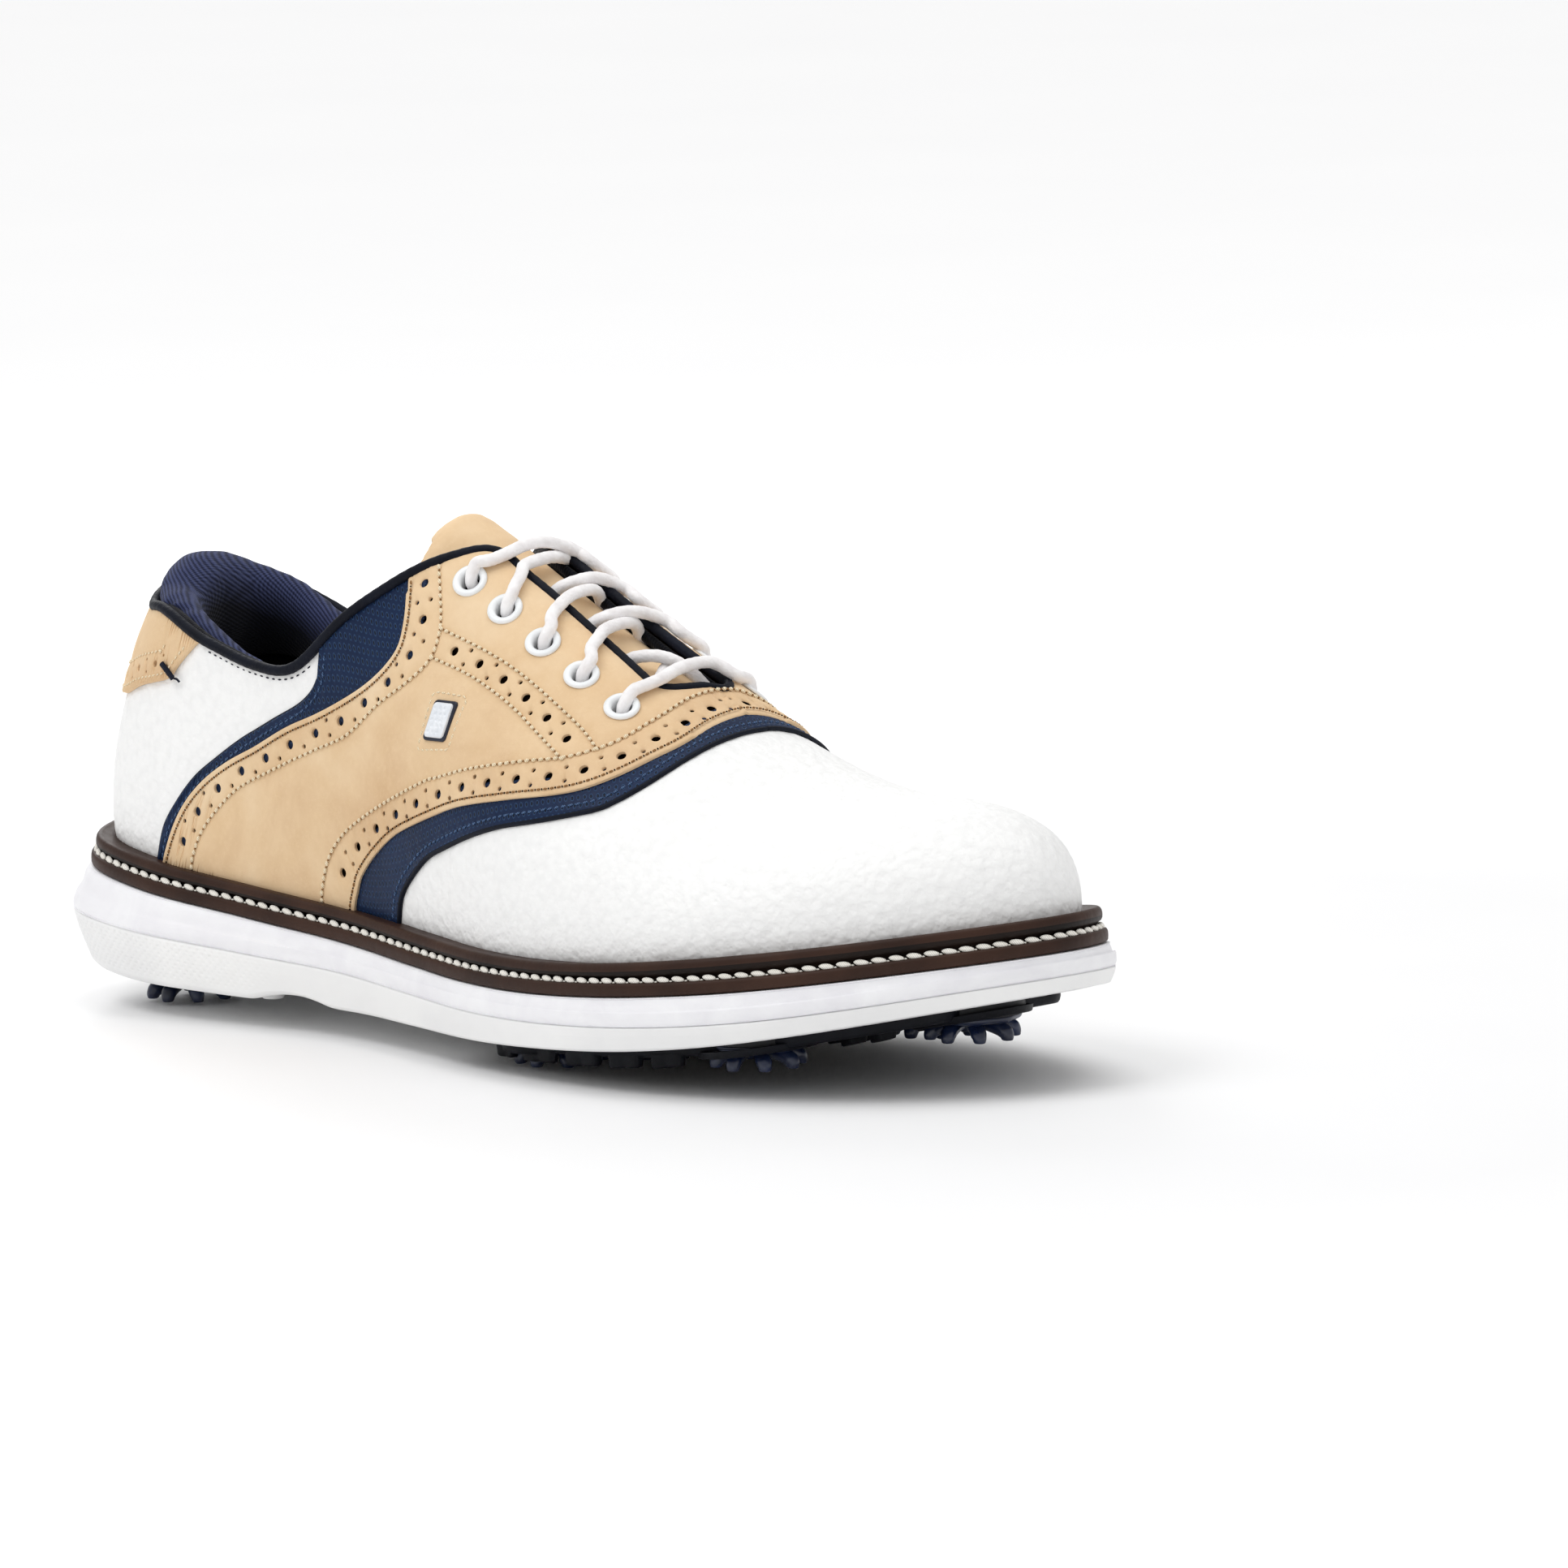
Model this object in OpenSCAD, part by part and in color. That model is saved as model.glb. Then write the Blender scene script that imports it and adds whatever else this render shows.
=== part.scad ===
// Spiked saddle golf shoe, right foot, built from the ground up:
// cleats, sole, welt, lasted upper in layers, tongue, collar, eyelets and lace.
// X runs from the heel to the toe, -Y is the lateral (outer) side, Z is up.
// The origin is on the ground under the middle of the sole.

/* [Overall size] */
// Length of the welt, heel to toe
shoe_length = 300; // [285:0.5:315]
// Width of the welt across the ball of the foot
ball_width = 110; // [105:0.5:116]
// Height of the tongue's tip over the ground
tongue_height = 122; // [117:0.5:128]

/* [Upper] */
// Thickness of the vamp and quarter leather
leather_t = 1.4; // [1.1:0.1:1.4]
// Thickness of the saddle leather and of the heel tab
saddle_t = 1.4; // [1.0:0.1:1.5]
// Thickness of the toe puff, heel counter and eyestay reinforcement
stiffener_t = 1.0; // [0.7:0.1:1.0]
// Thickness of the textile lining
lining_t = 1.0; // [0.7:0.1:1.0]
// Radius of the cord piping round the topline
piping_r = 0.85; // [0.6:0.05:0.9]
// Thickness of the padded collar
collar_pad_t = 7; // [5:0.5:9]
// Thickness of the tongue's foam
tongue_foam_t = 2.8; // [2:0.1:3.2]

/* [Lacing] */
// Number of eyelets on each side
eyelet_count = 5; // [5:1:5]
// Outer radius of an eyelet's flange
eyelet_r = 4.2; // [3.6:0.1:4.4]
// Radius of an eyelet's hole
eyelet_hole_r = 2.3; // [2:0.1:2.5]
// Radius of the round lace
lace_r = 1.5; // [1.2:0.1:1.6]

/* [Sole] */
// Height of the welt over its seat
welt_h = 7.3; // [6.5:0.1:7.4]
// How far the sole flares out behind the heel
heel_flare = 5; // [3:0.5:6]
// Thickness of the sockliner
sockliner_t = 4; // [3:0.5:5]

/* [Cleats] */
// Radius of a cleat's flange
cleat_r = 11.5; // [10:0.5:12]
// Radius of a cleat's stud
stud_r = 4.2; // [3.8:0.1:4.5]
// Running clearance between stud and receptacle, on the radius
stud_gap = 0.05; // [0.03:0.01:0.08]
// Number of legs on a cleat
cleat_legs = 8; // [6:1:9]

/* [Hidden] */
$fn = 48;

WHITE = [0.93,0.93,0.92];
TAN = [0.88,0.74,0.53];
NAVY = [0.07,0.15,0.28];
PAD_NAVY = [0.1,0.14,0.25];
LINING_NAVY = [0.08,0.1,0.16];
TRIM_NAVY = [0.05,0.07,0.13];
STIFFENER_GREY = [0.8,0.78,0.72];
THREAD_WHITE = [0.95,0.95,0.94];

LATERAL = -1;
MEDIAL = 1;

// ---- design curves, all drawn for the nominal size of 300 x 110 x 122 ----
length_scale = shoe_length/300;
width_scale = ball_width/110;
height_scale = tongue_height/122;

// Welt edge seen from above, [x, y]: from the back of the heel along the lateral side
// to the toe, and back along the medial side
WELT_EDGE = [[0,0],[3,-17.5],[16,-34.5],[42,-41],[75,-39.5],[108,-39],[139,-45.5],[169,-53],
  [198,-56.5],[224,-55.5],[250,-47.5],[274,-33],[293,-13],[300.5,8],[294.5,27],[279,41],
  [256,50],[230,53.5],[200,51.5],[170,45],[140,37],[108,31.5],[75,33],[42,38],[17,32.5],[3.5,17]];
// A place on the outline counts these points: 0 heel, 13 toe, 26 heel again
LAP = len(WELT_EDGE);
TOE = LAP/2;
HEEL_X = 40;   // the heel is turned about a centre here
TOE_X = 258;   // the toe is turned about a centre here
FEATHER_OUT = -6;  // the upper meets the welt this far inside the welt's edge
FEATHER_H = 7.5;   // and this high over the seat

// [x, z] along the sole: underside of the welt, midsole on outsole, bottom of the outsole
SEAT = [[0,34.5],[60,27.5],[120,22],[180,20],[240,23.7],[303,32]];
SPLIT = [[0,24],[40,20.5],[100,16.5],[200,14.3],[250,18],[303,27]];
TREAD = [[0,11],[20,8.5],[60,6.8],[120,6.5],[180,7],[240,11.5],[303,23]];
// [x, outward flare of the sole]
FLARE = [[0,heel_flare],[40,heel_flare*0.7],[100,1.5],[220,1.5],[303,1.5]];
// The last: [x, y] of its middle line, [x, z] of its ridge
MIDDLE_Y = [[0,0],[40,-1],[108,-2],[150,0],[190,4],[225,6],[258,8],[303,8]];
RIDGE = [[0,116],[20,118],[40,145],[60,165],[80,160],[100,146],[115,132],[130,120],[147,109.7],
  [168,96.8],[186,86.5],[205,76.4],[225,67.5],[245,63],[258,63]];
// Shape of its side wall by x: bulge in mm, then the height of the lower control point
// and the radius of the upper one as shares of the wall's height and radius
BULGE = [[0,4.5],[40,1.5],[100,3.3],[150,2],[200,3],[258,1.8],[303,0.5]];
LOW = [[0,0.32],[40,0.3],[100,0.42],[150,0.5],[200,0.5],[258,0.62],[303,0.65]];
CROWN = [[0,0.58],[40,0.66],[100,0.71],[150,0.54],[200,0.5],[258,0.7],[303,0.76]];

// Topline, [place, rise]: rise is the share of the way up the last's wall
TOPLINE_FRONT = [[3.5,0.33],[4,0.315],[4.4,0.335],[4.8,0.44],[5.2,0.575],[5.6,0.745],[5.8,0.84],
  [6.2,0.86],[7,0.862],[7.5,0.85]];
TOPLINE_LATERAL = concat(
  [[0,0.62],[1.6,0.618],[2,0.597],[2.5,0.515],[3,0.43],[3.5,0.347],[4,0.318]],
  [for (i = [2:len(TOPLINE_FRONT)-1]) TOPLINE_FRONT[i]]);
// The medial side dips a little earlier behind the ankle
TOPLINE_MEDIAL = concat(
  [[0,0.62],[1.6,0.618],[2,0.597],[2.4,0.52],[2.7,0.445],[3,0.385]], TOPLINE_FRONT);

// ---- curves ----
function segment(table,x,i=0) =
  (i >= len(table)-2 || x < table[i+1][0]) ? i : segment(table,x,i+1);
function slope(table,i) = (table[i+1][1]-table[i][1])/(table[i+1][0]-table[i][0]);
function tangent(table,i) =
  i == 0 ? slope(table,0)
  : i == len(table)-1 ? slope(table,i-1)
  : (slope(table,i)*(table[i][0]-table[i-1][0]) + slope(table,i-1)*(table[i+1][0]-table[i][0]))
    /(table[i+1][0]-table[i-1][0]);
// smooth curve through a table, held level past its ends
function at(table,place) =
  let(x = min(max(place,table[0][0]),table[len(table)-1][0]),
    i = segment(table,x),
    span = table[i+1][0]-table[i][0],
    s = (x-table[i][0])/span)
  (1+2*s)*(1-s)*(1-s)*table[i][1] + s*(1-s)*(1-s)*span*tangent(table,i)
  + s*s*(3-2*s)*table[i+1][1] + s*s*(s-1)*span*tangent(table,i+1);
// Catmull-Rom blend from start to end
function blend(before,start,end,after,s) = 0.5*(2*start + (end-before)*s
  + (2*before-5*start+4*end-after)*s*s + (3*start-before-3*end+after)*s*s*s);
// smooth open curve through points
function curve(points,steps=3) = let(count = len(points)) concat(
  [for (i = [0:count-2], k = [0:steps-1])
    blend(points[max(i-1,0)],points[i],points[i+1],points[min(i+2,count-1)],k/steps)],
  [points[count-1]]);
function reversed(list) = [for (i = [len(list)-1:-1:0]) list[i]];
function unit(v) = v/norm(v);

function edge(place) = let(lap = (place+LAP)%LAP, i = floor(lap))
  blend(WELT_EDGE[(i+LAP-1)%LAP],WELT_EDGE[i],WELT_EDGE[(i+1)%LAP],WELT_EDGE[(i+2)%LAP],lap-i);
function out_dir(place) = let(v = unit(edge(place+0.02)-edge(place-0.02))) [v.y,-v.x];
function beside(place,out) = edge(place)+out_dir(place)*out;
function flare(place) = at(FLARE,edge(place).x);
// a place given on the lateral side, or the one across from it
function on_side(side,place) = side == LATERAL ? place : LAP-place;

// outline stations: close together round the heel and the toe
SIDE = concat([for (i = [0:8]) i/4], [for (i = [1:15]) 2+i/2], [for (i = [1:7]) 9.5+i/2]);
SIDE_COUNT = len(SIDE);
STATIONS = concat(SIDE, [for (i = [SIDE_COUNT-2:-1:1]) LAP-SIDE[i]]);
COUNT = len(STATIONS);

// from design coordinates to the chosen size, centred on the flared sole
sole_edge = [for (place = STATIONS) beside(place,flare(place))];
function middle(values) = (max(values)+min(values))/2;
centre_x = middle([for (p = sole_edge) p.x])*length_scale;
centre_y = middle([for (p = sole_edge) p.y])*width_scale;
function sized_x(x) = x*length_scale-centre_x;
function sized(p) = [sized_x(p.x), p.y*width_scale-centre_y, p.z*height_scale];
function plan(points) = [for (p = points) [p.x,p.y]];
function side_view(points) = [for (p = points) [p.x,p.z]];
function sized_side(points) = side_view([for (p = points) sized([p.x,0,p.y])]);

// Point on the last, off outside the leather's outer face.
// rise climbs from the feather (0) to the ridge (1) along a Bezier curve in [radius, z].
function last(place,rise,off=0) =
  let(foot = beside(place,FEATHER_OUT),
    hub_x = min(max(foot.x,HEEL_X),TOE_X),
    hub = [hub_x,at(MIDDLE_Y,hub_x)],
    radius = norm(foot-hub),
    heading = (foot-hub)/radius,
    bottom = at(SEAT,foot.x)+FEATHER_H,
    top = at(RIDGE,min(foot.x,TOE_X)),
    start = [radius,bottom],
    lower = [radius+at(BULGE,foot.x), bottom+at(LOW,foot.x)*(top-bottom)],
    upper = [at(CROWN,foot.x)*radius,top],
    end = [0,top],
    t = rise,
    point = (1-t)*(1-t)*(1-t)*start+3*(1-t)*(1-t)*t*lower+3*(1-t)*t*t*upper+t*t*t*end,
    along = 3*(1-t)*(1-t)*(lower-start)+6*(1-t)*t*(upper-lower)+3*t*t*(end-upper),
    wall = point+off*[along.y,-along.x]/(norm(along)+1e-6))
  [hub.x+heading.x*wall.x, hub.y+heading.y*wall.x, wall.y];
function normal(place,rise) = unit(cross(
  last(place+0.05,rise)-last(place-0.05,rise), last(place,rise+0.02)-last(place,rise-0.02)));
function above(place,rise,height) = last(place,rise)+height*normal(place,rise);
// puts its children on the last, with +Z along the outward normal and +X roughly forward
module on_last(place,rise,off = 0) {
  n = normal(place,rise);
  turn = atan2(n.y,n.x);
  translate(sized(above(place,rise,off)))
    rotate([0,acos(n.z),turn]) rotate([0,0,-turn]) children();
}

// ---- solids from rings of points ----
// resize([0,0,0]), used on cut pieces below, leaves every size as it is
function flipped(faces) = [for (f = faces) [f[2],f[1],f[0]]];
// faces between successive rings of n points; closed joins the last ring to the first
function walls(ring_count,n,closed=false) =
  [for (j = [0:ring_count-(closed ? 1 : 2)], i = [0:n-1])
    let(b = j*n, c = ((j+1)%ring_count)*n, k = (i+1)%n)
    each [[b+i,c+i,c+k],[b+i,c+k,b+k]]];
// rungs from the lateral to the medial side close a ring of stations, facing up
function rungs(first) = [for (i = [0:SIDE_COUNT-2])
  let(l = first+i, l1 = l+1, r = first+(COUNT-i)%COUNT, r1 = first+COUNT-i-1)
  each i == 0 ? [[l,r1,l1]] : i == SIDE_COUNT-2 ? [[l,r,l1]] : [[l,r,r1],[l,r1,l1]]];
function sized_rings(rings) = [for (ring = rings) each [for (p = ring) sized(p)]];
module stack(rings) { // stacked rings, closed at the bottom and the top
  m = len(rings);
  polyhedron(points = sized_rings(rings),
    faces = concat(walls(m,COUNT), flipped(rungs(0)), rungs((m-1)*COUNT)), convexity = 6);
}
module hoop(rings) // a ring-shaped solid: each ring is one corner of its section
  polyhedron(points = sized_rings(rings), faces = walls(len(rings),COUNT,true), convexity = 6);

CORD_SIDES = 6;
function cord_ring(centre,u,v,radius) = [for (k = [0:CORD_SIDES-1])
  centre+radius*(cos(360*k/CORD_SIDES)*u+sin(360*k/CORD_SIDES)*v)];
module cord(path,radius) { // round cord along an open path
  m = len(path);
  rings = [for (i = [0:m-1])
    let(d = unit(path[min(i+1,m-1)]-path[max(i-1,0)]),
      u = unit(cross(d,abs(d.x) > 0.9 ? [0,0,1] : [1,0,0])))
    each cord_ring(path[i],u,cross(d,u),radius)];
  ends = [[for (k = [0:CORD_SIDES-1]) k],
    [for (k = [CORD_SIDES-1:-1:0]) (m-1)*CORD_SIDES+k]];
  polyhedron(points = rings, faces = concat(walls(m,CORD_SIDES),ends), convexity = 8);
}
// Cord along a closed path of [place, rise] on the last. The path turns through every
// heading, so the last's normal carries the cord's frame and keeps it from flipping.
module bead(path,off,radius) {
  m = len(path);
  centres = [for (q = path) last(q[0],q[1],off)];
  rings = [for (i = [0:m-1])
    let(d = unit(centres[(i+1)%m]-centres[(i+m-1)%m]),
      out = unit(last(path[i][0],path[i][1],off+1)-centres[i]),
      v = unit(cross(d,out)))
    cord_ring(centres[i],cross(v,d),v,radius)];
  polyhedron(points = sized_rings(rings), faces = walls(m,CORD_SIDES,true), convexity = 8);
}

// ---- bodies and cutters for the lasted upper ----
BODY_ROWS = [0,0.1,0.25,0.42,0.59,0.75,0.89,1];
TOP_RISE = 0.985; // bodies are closed just under the ridge
REACH = [[0,0.74],[2,0.72],[3,0.6],[4,0.45],[4.6,0.52],[5.2,0.7],[5.6,0.85],[6,TOP_RISE],
  [TOE,TOP_RISE]]; // [place, rise of the body's top]
function reach(place) = min(at(REACH,min(place,LAP-place)),TOP_RISE);
// closed body of the last at an offset; full carries it over the collar opening,
// deep runs it below the feather
module body(off,full = false,deep = false)
  stack(concat(
    deep ? [[for (place = STATIONS) last(place,0,off)-[0,0,6]]] : [],
    [for (row = BODY_ROWS)
      [for (place = STATIONS) last(place,row*(full ? TOP_RISE : reach(place)),off)]]));
module skin(outer,inner,full = false) difference() {
  body(outer,full);
  body(inner,full,true);
}

// topline and throat of one side, [place, rise]
function throat(topline) = concat([for (i = [0:30]) [i/4,at(topline,i/4)]],
  [[7.6,0.868],[7.67,0.915],[7.7,0.96]]);
THROAT_LATERAL = throat(TOPLINE_LATERAL);
THROAT_MEDIAL = throat(TOPLINE_MEDIAL);
OPENING_OFF = 0.2;            // the opening's edge lies this far outside the leather
OPENING_GAP = piping_r+0.12;  // panels stop this far from that edge
function throat_points(side,from,to) =
  [for (q = side == LATERAL ? THROAT_LATERAL : THROAT_MEDIAL) if (q[0] >= from && q[0] <= to)
    sized(last(on_side(side,q[0]),q[1],OPENING_OFF))];

module across(width = 300,high_y = 150) // extrudes a side view along Y, up to high_y
  translate([0,high_y,0]) rotate([90,0,0]) linear_extrude(width) children();
module throat_plan()
  polygon(plan(concat(throat_points(LATERAL,5.5,8), reversed(throat_points(MEDIAL,5.5,8)))));
module foot_opening() { // everything above the topline and inside the throat
  for (side = [LATERAL,MEDIAL]) {
    rim = side_view(throat_points(side,0,5.76));
    across(200, side == LATERAL ? 0.5 : 199.5) offset(delta = OPENING_GAP)
      polygon(concat(rim, [[rim[len(rim)-1].x,220],[-260,220],[-260,rim[0].y]]));
  }
  translate([0,0,40]) linear_extrude(200) offset(delta = OPENING_GAP) throat_plan();
}
module half(side) translate([-300, side == LATERAL ? -200 : 0, -10]) cube([600,200,220]);

// Eyelets: places along the outline, back to front, and their rise
EYELET_PLACES = [5.83,6.21,6.63,7.07,7.52];
EYELET_RISE = 0.72;
eyelet_places = [for (i = [0:eyelet_count-1]) EYELET_PLACES[i]];
module at_eyelets() for (side = [LATERAL,MEDIAL], place = eyelet_places)
  on_last(on_side(side,place),EYELET_RISE) children();
module eyelet_holes() at_eyelets() cylinder(r = 3.6, h = 16, center = true, $fn = 10);

// ---- panels of the upper ----
// Panel edges in side view, [x, z]
QUARTER_EDGE = curve([[38,10],[40.5,36],[43.5,45],[50,53],[60,61.5],[72,68.5],[87,76],
  [93.5,81],[95.5,88],[95.5,130]]);
SADDLE_REAR = curve([[42,10],[44,36],[47.5,45],[54,53.5],[66,61.5],[80,68.5],[96,75.5],
  [108,81],[117,87],[121.5,95],[120.5,103],[117,110],[113,130]]);
SADDLE_FRONT = curve([[105,10],[108.5,31],[112.5,39],[120,46],[134,52.5],[152,58],[170,61],
  [184,63.5],[196,67.5],[202,72.5],[202.5,78],[202,130]]);
VAMP_EDGE = curve([[125,10],[129,30],[134,39],[144,46.5],[158,52.5],[176,56.5],[192,60],
  [201,63.5],[205,69],[206.5,75.5],[207,130]]);
TAB_EDGE = curve([[-30,76.5],[20,76.5],[36,77],[43,79.3],[48,84],[54,89.5],[58,97],[60,130]]);
COUNTER_OUTLINE = [[-30,10],[-30,84],[30,84],[52,76],[70,66],[80,50],[84,10]];
BEHIND_HEEL = [[-60,10],[-60,130]];
BEYOND_TOE = [[360,10],[360,130]];
// the saddle laps over the underlays by this much
SADDLE_LAP = 6;
function moved(points,x) = [for (p = points) [p.x+x,p.y]];
BACKING_REAR = moved(SADDLE_REAR,SADDLE_LAP);
BACKING_FRONT = moved(SADDLE_FRONT,-SADDLE_LAP);

SEAM_GAP = 0.06;    // taken off each panel's edge
SADDLE_GAP = 0.12;  // between the leather and the saddle
SADDLE_FACE = SADDLE_GAP+saddle_t;
STIFFENER_FACE = -leather_t-0.15;
LINING_DEPTH = leather_t+stiffener_t+0.3; // outer face of the lining

module panel(rear,front,outer = 0,inner = -leather_t) resize([0,0,0]) difference() {
  intersection() {
    skin(outer,inner);
    across() offset(delta = -SEAM_GAP)
      polygon(concat(sized_side(rear), reversed(sized_side(front))));
  }
  foot_opening();
  eyelet_holes();
}
module vamp() color(WHITE) panel(VAMP_EDGE,BEYOND_TOE);
module back_quarter() color(WHITE) panel(BEHIND_HEEL,QUARTER_EDGE);
module rear_underlay(side) resize([0,0,0]) intersection() {
  panel(QUARTER_EDGE,BACKING_REAR);
  half(side);
}
module rear_underlay_lateral() color(NAVY) rear_underlay(LATERAL);
module rear_underlay_medial() color(NAVY) rear_underlay(MEDIAL);
module saddle_backing() color([0.75,0.7,0.62]) panel(BACKING_REAR,BACKING_FRONT);
module front_underlay() color(NAVY) panel(BACKING_FRONT,VAMP_EDGE);
module saddle() color(TAN) panel(SADDLE_REAR,SADDLE_FRONT,SADDLE_FACE,SADDLE_GAP);
module heel_tab() color(TAN) resize([0,0,0]) difference() {
  intersection() {
    skin(SADDLE_FACE,SADDLE_GAP);
    across() polygon(sized_side(concat(TAB_EDGE,[[-30,130]])));
  }
  foot_opening();
}

module stiffener_skin() skin(STIFFENER_FACE,STIFFENER_FACE-stiffener_t);
module toe_puff() color(STIFFENER_GREY) resize([0,0,0]) intersection() {
  stiffener_skin();
  translate([sized_x(252),-150,0]) cube([200,300,200]);
}
module heel_counter() color(STIFFENER_GREY) resize([0,0,0]) intersection() {
  stiffener_skin();
  across() polygon(sized_side(COUNTER_OUTLINE));
}
module eyestay_reinforcement() color(STIFFENER_GREY) resize([0,0,0]) difference() {
  intersection() {
    stiffener_skin();
    translate([0,0,30]) linear_extrude(150) intersection() {
      offset(delta = 13) throat_plan();
      translate([sized_x(126),-60]) square([100,120]);
    }
  }
  foot_opening();
  eyelet_holes();
}
module lining() color(LINING_NAVY) resize([0,0,0]) difference() {
  skin(-LINING_DEPTH,-LINING_DEPTH-lining_t);
  foot_opening();
}

// ---- piping and collar ----
module topline_piping() color(TRIM_NAVY) bead(
  concat(THROAT_LATERAL, [for (i = [len(THROAT_MEDIAL)-1:-1:1])
    [LAP-THROAT_MEDIAL[i][0],THROAT_MEDIAL[i][1]]]),
  OPENING_OFF,piping_r);

// Padded collar: a soft roll inside the topline that rises behind the heel.
// [place, rise of its top over the topline] and [place, rise from its bottom to its top]
PAD_LIFT = [[0,0.115],[1,0.102],[1.5,0.078],[2,0.03],[2.5,0],[3,-0.012],[4.9,-0.012]];
PAD_SPAN = [[0,0.4],[2,0.33],[3,0.24],[4,0.21],[4.9,0.22]];
PAD_DEPTH = LINING_DEPTH+lining_t+0.9; // outer face of the padding
PAD_STEPS = 12;    // sections on each side of the heel
PAD_PITCH = 0.4083; // places from one section to the next
PAD_SIDES = 12;    // points of a section: up the outer face, down the rounded inner one
function pad_section(place) =
  let(away = abs(place),
    top = at(place >= 0 ? TOPLINE_LATERAL : TOPLINE_MEDIAL,away)+at(PAD_LIFT,away),
    bottom = top-at(PAD_SPAN,away),
    taper = min(1,(5.2-away)/1.2),
    half = PAD_SIDES/2)
  [for (k = [0:PAD_SIDES-1])
    let(s = k <= half ? k/half : (PAD_SIDES-k)/half,
      bulge = k <= half ? 0 : collar_pad_t*pow(sin(180*s),0.6)*taper)
    sized(last(place >= 0 ? place : LAP+place,bottom+(top-bottom)*s,-PAD_DEPTH-bulge))];
module collar_padding() color(PAD_NAVY) {
  end = 2*PAD_STEPS*PAD_SIDES;
  polyhedron(
    points = [for (i = [-PAD_STEPS:PAD_STEPS]) each pad_section(i*PAD_PITCH)],
    faces = concat(flipped(walls(2*PAD_STEPS+1,PAD_SIDES)),
      [for (k = [1:PAD_SIDES-2]) [0,k+1,k]],
      [for (k = [1:PAD_SIDES-2]) [end,end+k,end+k+1]]),
    convexity = 6);
}

// ---- tongue ----
TONGUE_DEPTH = LINING_DEPTH+lining_t+1.85; // outer face of the tongue
TONGUE_T = 1;
TONGUE_LINING_T = 0.8;
TONGUE_GAP = 0.15; // between its layers
FOAM_DEPTH = TONGUE_DEPTH+TONGUE_T+TONGUE_GAP;
TONGUE_LINING_DEPTH = FOAM_DEPTH+tongue_foam_t+TONGUE_GAP;
// Half outline from above: [x, distance from the middle line]
TONGUE_EDGE = curve([[204,0],[203,15],[190,20],[160,22.5],[140,24],[130,22],[124.5,15],
  [122.3,7],[122,0]]);
// Crown of the instep in side view, without its walls: [x, z]
INSTEP = [[100,108],[125,92],[150,78],[186,57],[204,48],[212,48],[212,160],[100,160]];
function tongue_side(side,points) =
  plan([for (p = points) sized([p.x,at(MIDDLE_Y,p.x)+side*p.y,0])]);
module tongue_layer(depth,thickness,inset = 0) resize([0,0,0]) intersection() {
  skin(-depth,-depth-thickness,true);
  translate([0,0,40]) linear_extrude(120) offset(delta = -inset)
    polygon(concat(tongue_side(-1,TONGUE_EDGE),
      tongue_side(1,[for (i = [len(TONGUE_EDGE)-2:-1:1]) TONGUE_EDGE[i]])));
  across() polygon(sized_side(INSTEP));
}
module tongue() color(TAN) tongue_layer(TONGUE_DEPTH,TONGUE_T);
module tongue_foam() color([0.9,0.85,0.6]) tongue_layer(FOAM_DEPTH,tongue_foam_t,1);
module tongue_lining() color(LINING_NAVY)
  tongue_layer(TONGUE_LINING_DEPTH,TONGUE_LINING_T,0.5);

// ---- eyelets, lace, emblem, bartacks ----
module eyelet() rotate_extrude() polygon([ // [radius, height over the leather]
  [eyelet_hole_r,-1.7],[3.05,-1.7],[3.05,1.85],[eyelet_r,1.85],[eyelet_r,2.3],
  [eyelet_r-0.6,2.75],[eyelet_hole_r+0.6,2.75],[eyelet_hole_r,2.4]]);
module eyelets() color([0.93,0.94,0.95]) at_eyelets() eyelet();
// each run of lace leaves one eyelet, passes over the piping and the tongue,
// and enters the eyelet across
function lace_half(place) = [
  above(place,EYELET_RISE,-2.2), above(place,EYELET_RISE,3), above(place,EYELET_RISE+0.035,5.2),
  last(place,0.86,4.2), last(place,0.94,2.4)];
module lace() color(THREAD_WHITE) for (place = eyelet_places) {
  run = concat(lace_half(place),reversed(lace_half(LAP-place)));
  cord([for (p = curve(run,2)) sized(p)],lace_r);
}
module side_emblem() color([0.2,0.25,0.35]) on_last(6.03,0.416,SADDLE_FACE+0.25)
  linear_extrude(1.1)
    polygon([[-3.6,-4.5],[2.4,-4.5],[3.6,-3.4],[3.6,4.5],[-2.4,4.5],[-3.6,3.4]]);
module bartacks() color(TRIM_NAVY) for (side = [LATERAL,MEDIAL])
  on_last(on_side(side,3.07),0.327,SADDLE_FACE+0.62)
    rotate([0,0,-30]) rotate([0,90,0]) cylinder(r = 0.55, h = 5, center = true, $fn = 24);

// ---- sole ----
// Cleats: [x, y, height of the seat under the sole]; the height isn't scaled
CLEATS = [[30,-16,6.2],[31,15,6.2],[176,-32,6.2],[240,-31,11.2],[182,24,6.2],[237,29,10.8],
  [271,7,15.6]];
HEEL_CLEATS = [0,1];
FRONT_CLEATS = [2:6];
HIGH_CLEATS = [3,5,6]; // ball and toe, where the sole springs up
RECEPTACLE_R = 7.5;
RECEPTACLE_H = 6.4;
SOCKET_R = RECEPTACLE_R+0.4;
SOCKET_H = RECEPTACLE_H+0.2;
POCKET_R = cleat_r+0.8; // pocket for a cleat's flange
function cleat_at(spot,z) = [sized_x(spot.x), sized([0,spot.y,0]).y, z];
module post(spot,radius,from,to,sides = 24)
  translate(cleat_at(spot,from)) cylinder(r = radius, h = to-from, $fn = sides);
module socket(spot) post(spot,SOCKET_R,0,spot.z+SOCKET_H,16);

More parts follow.
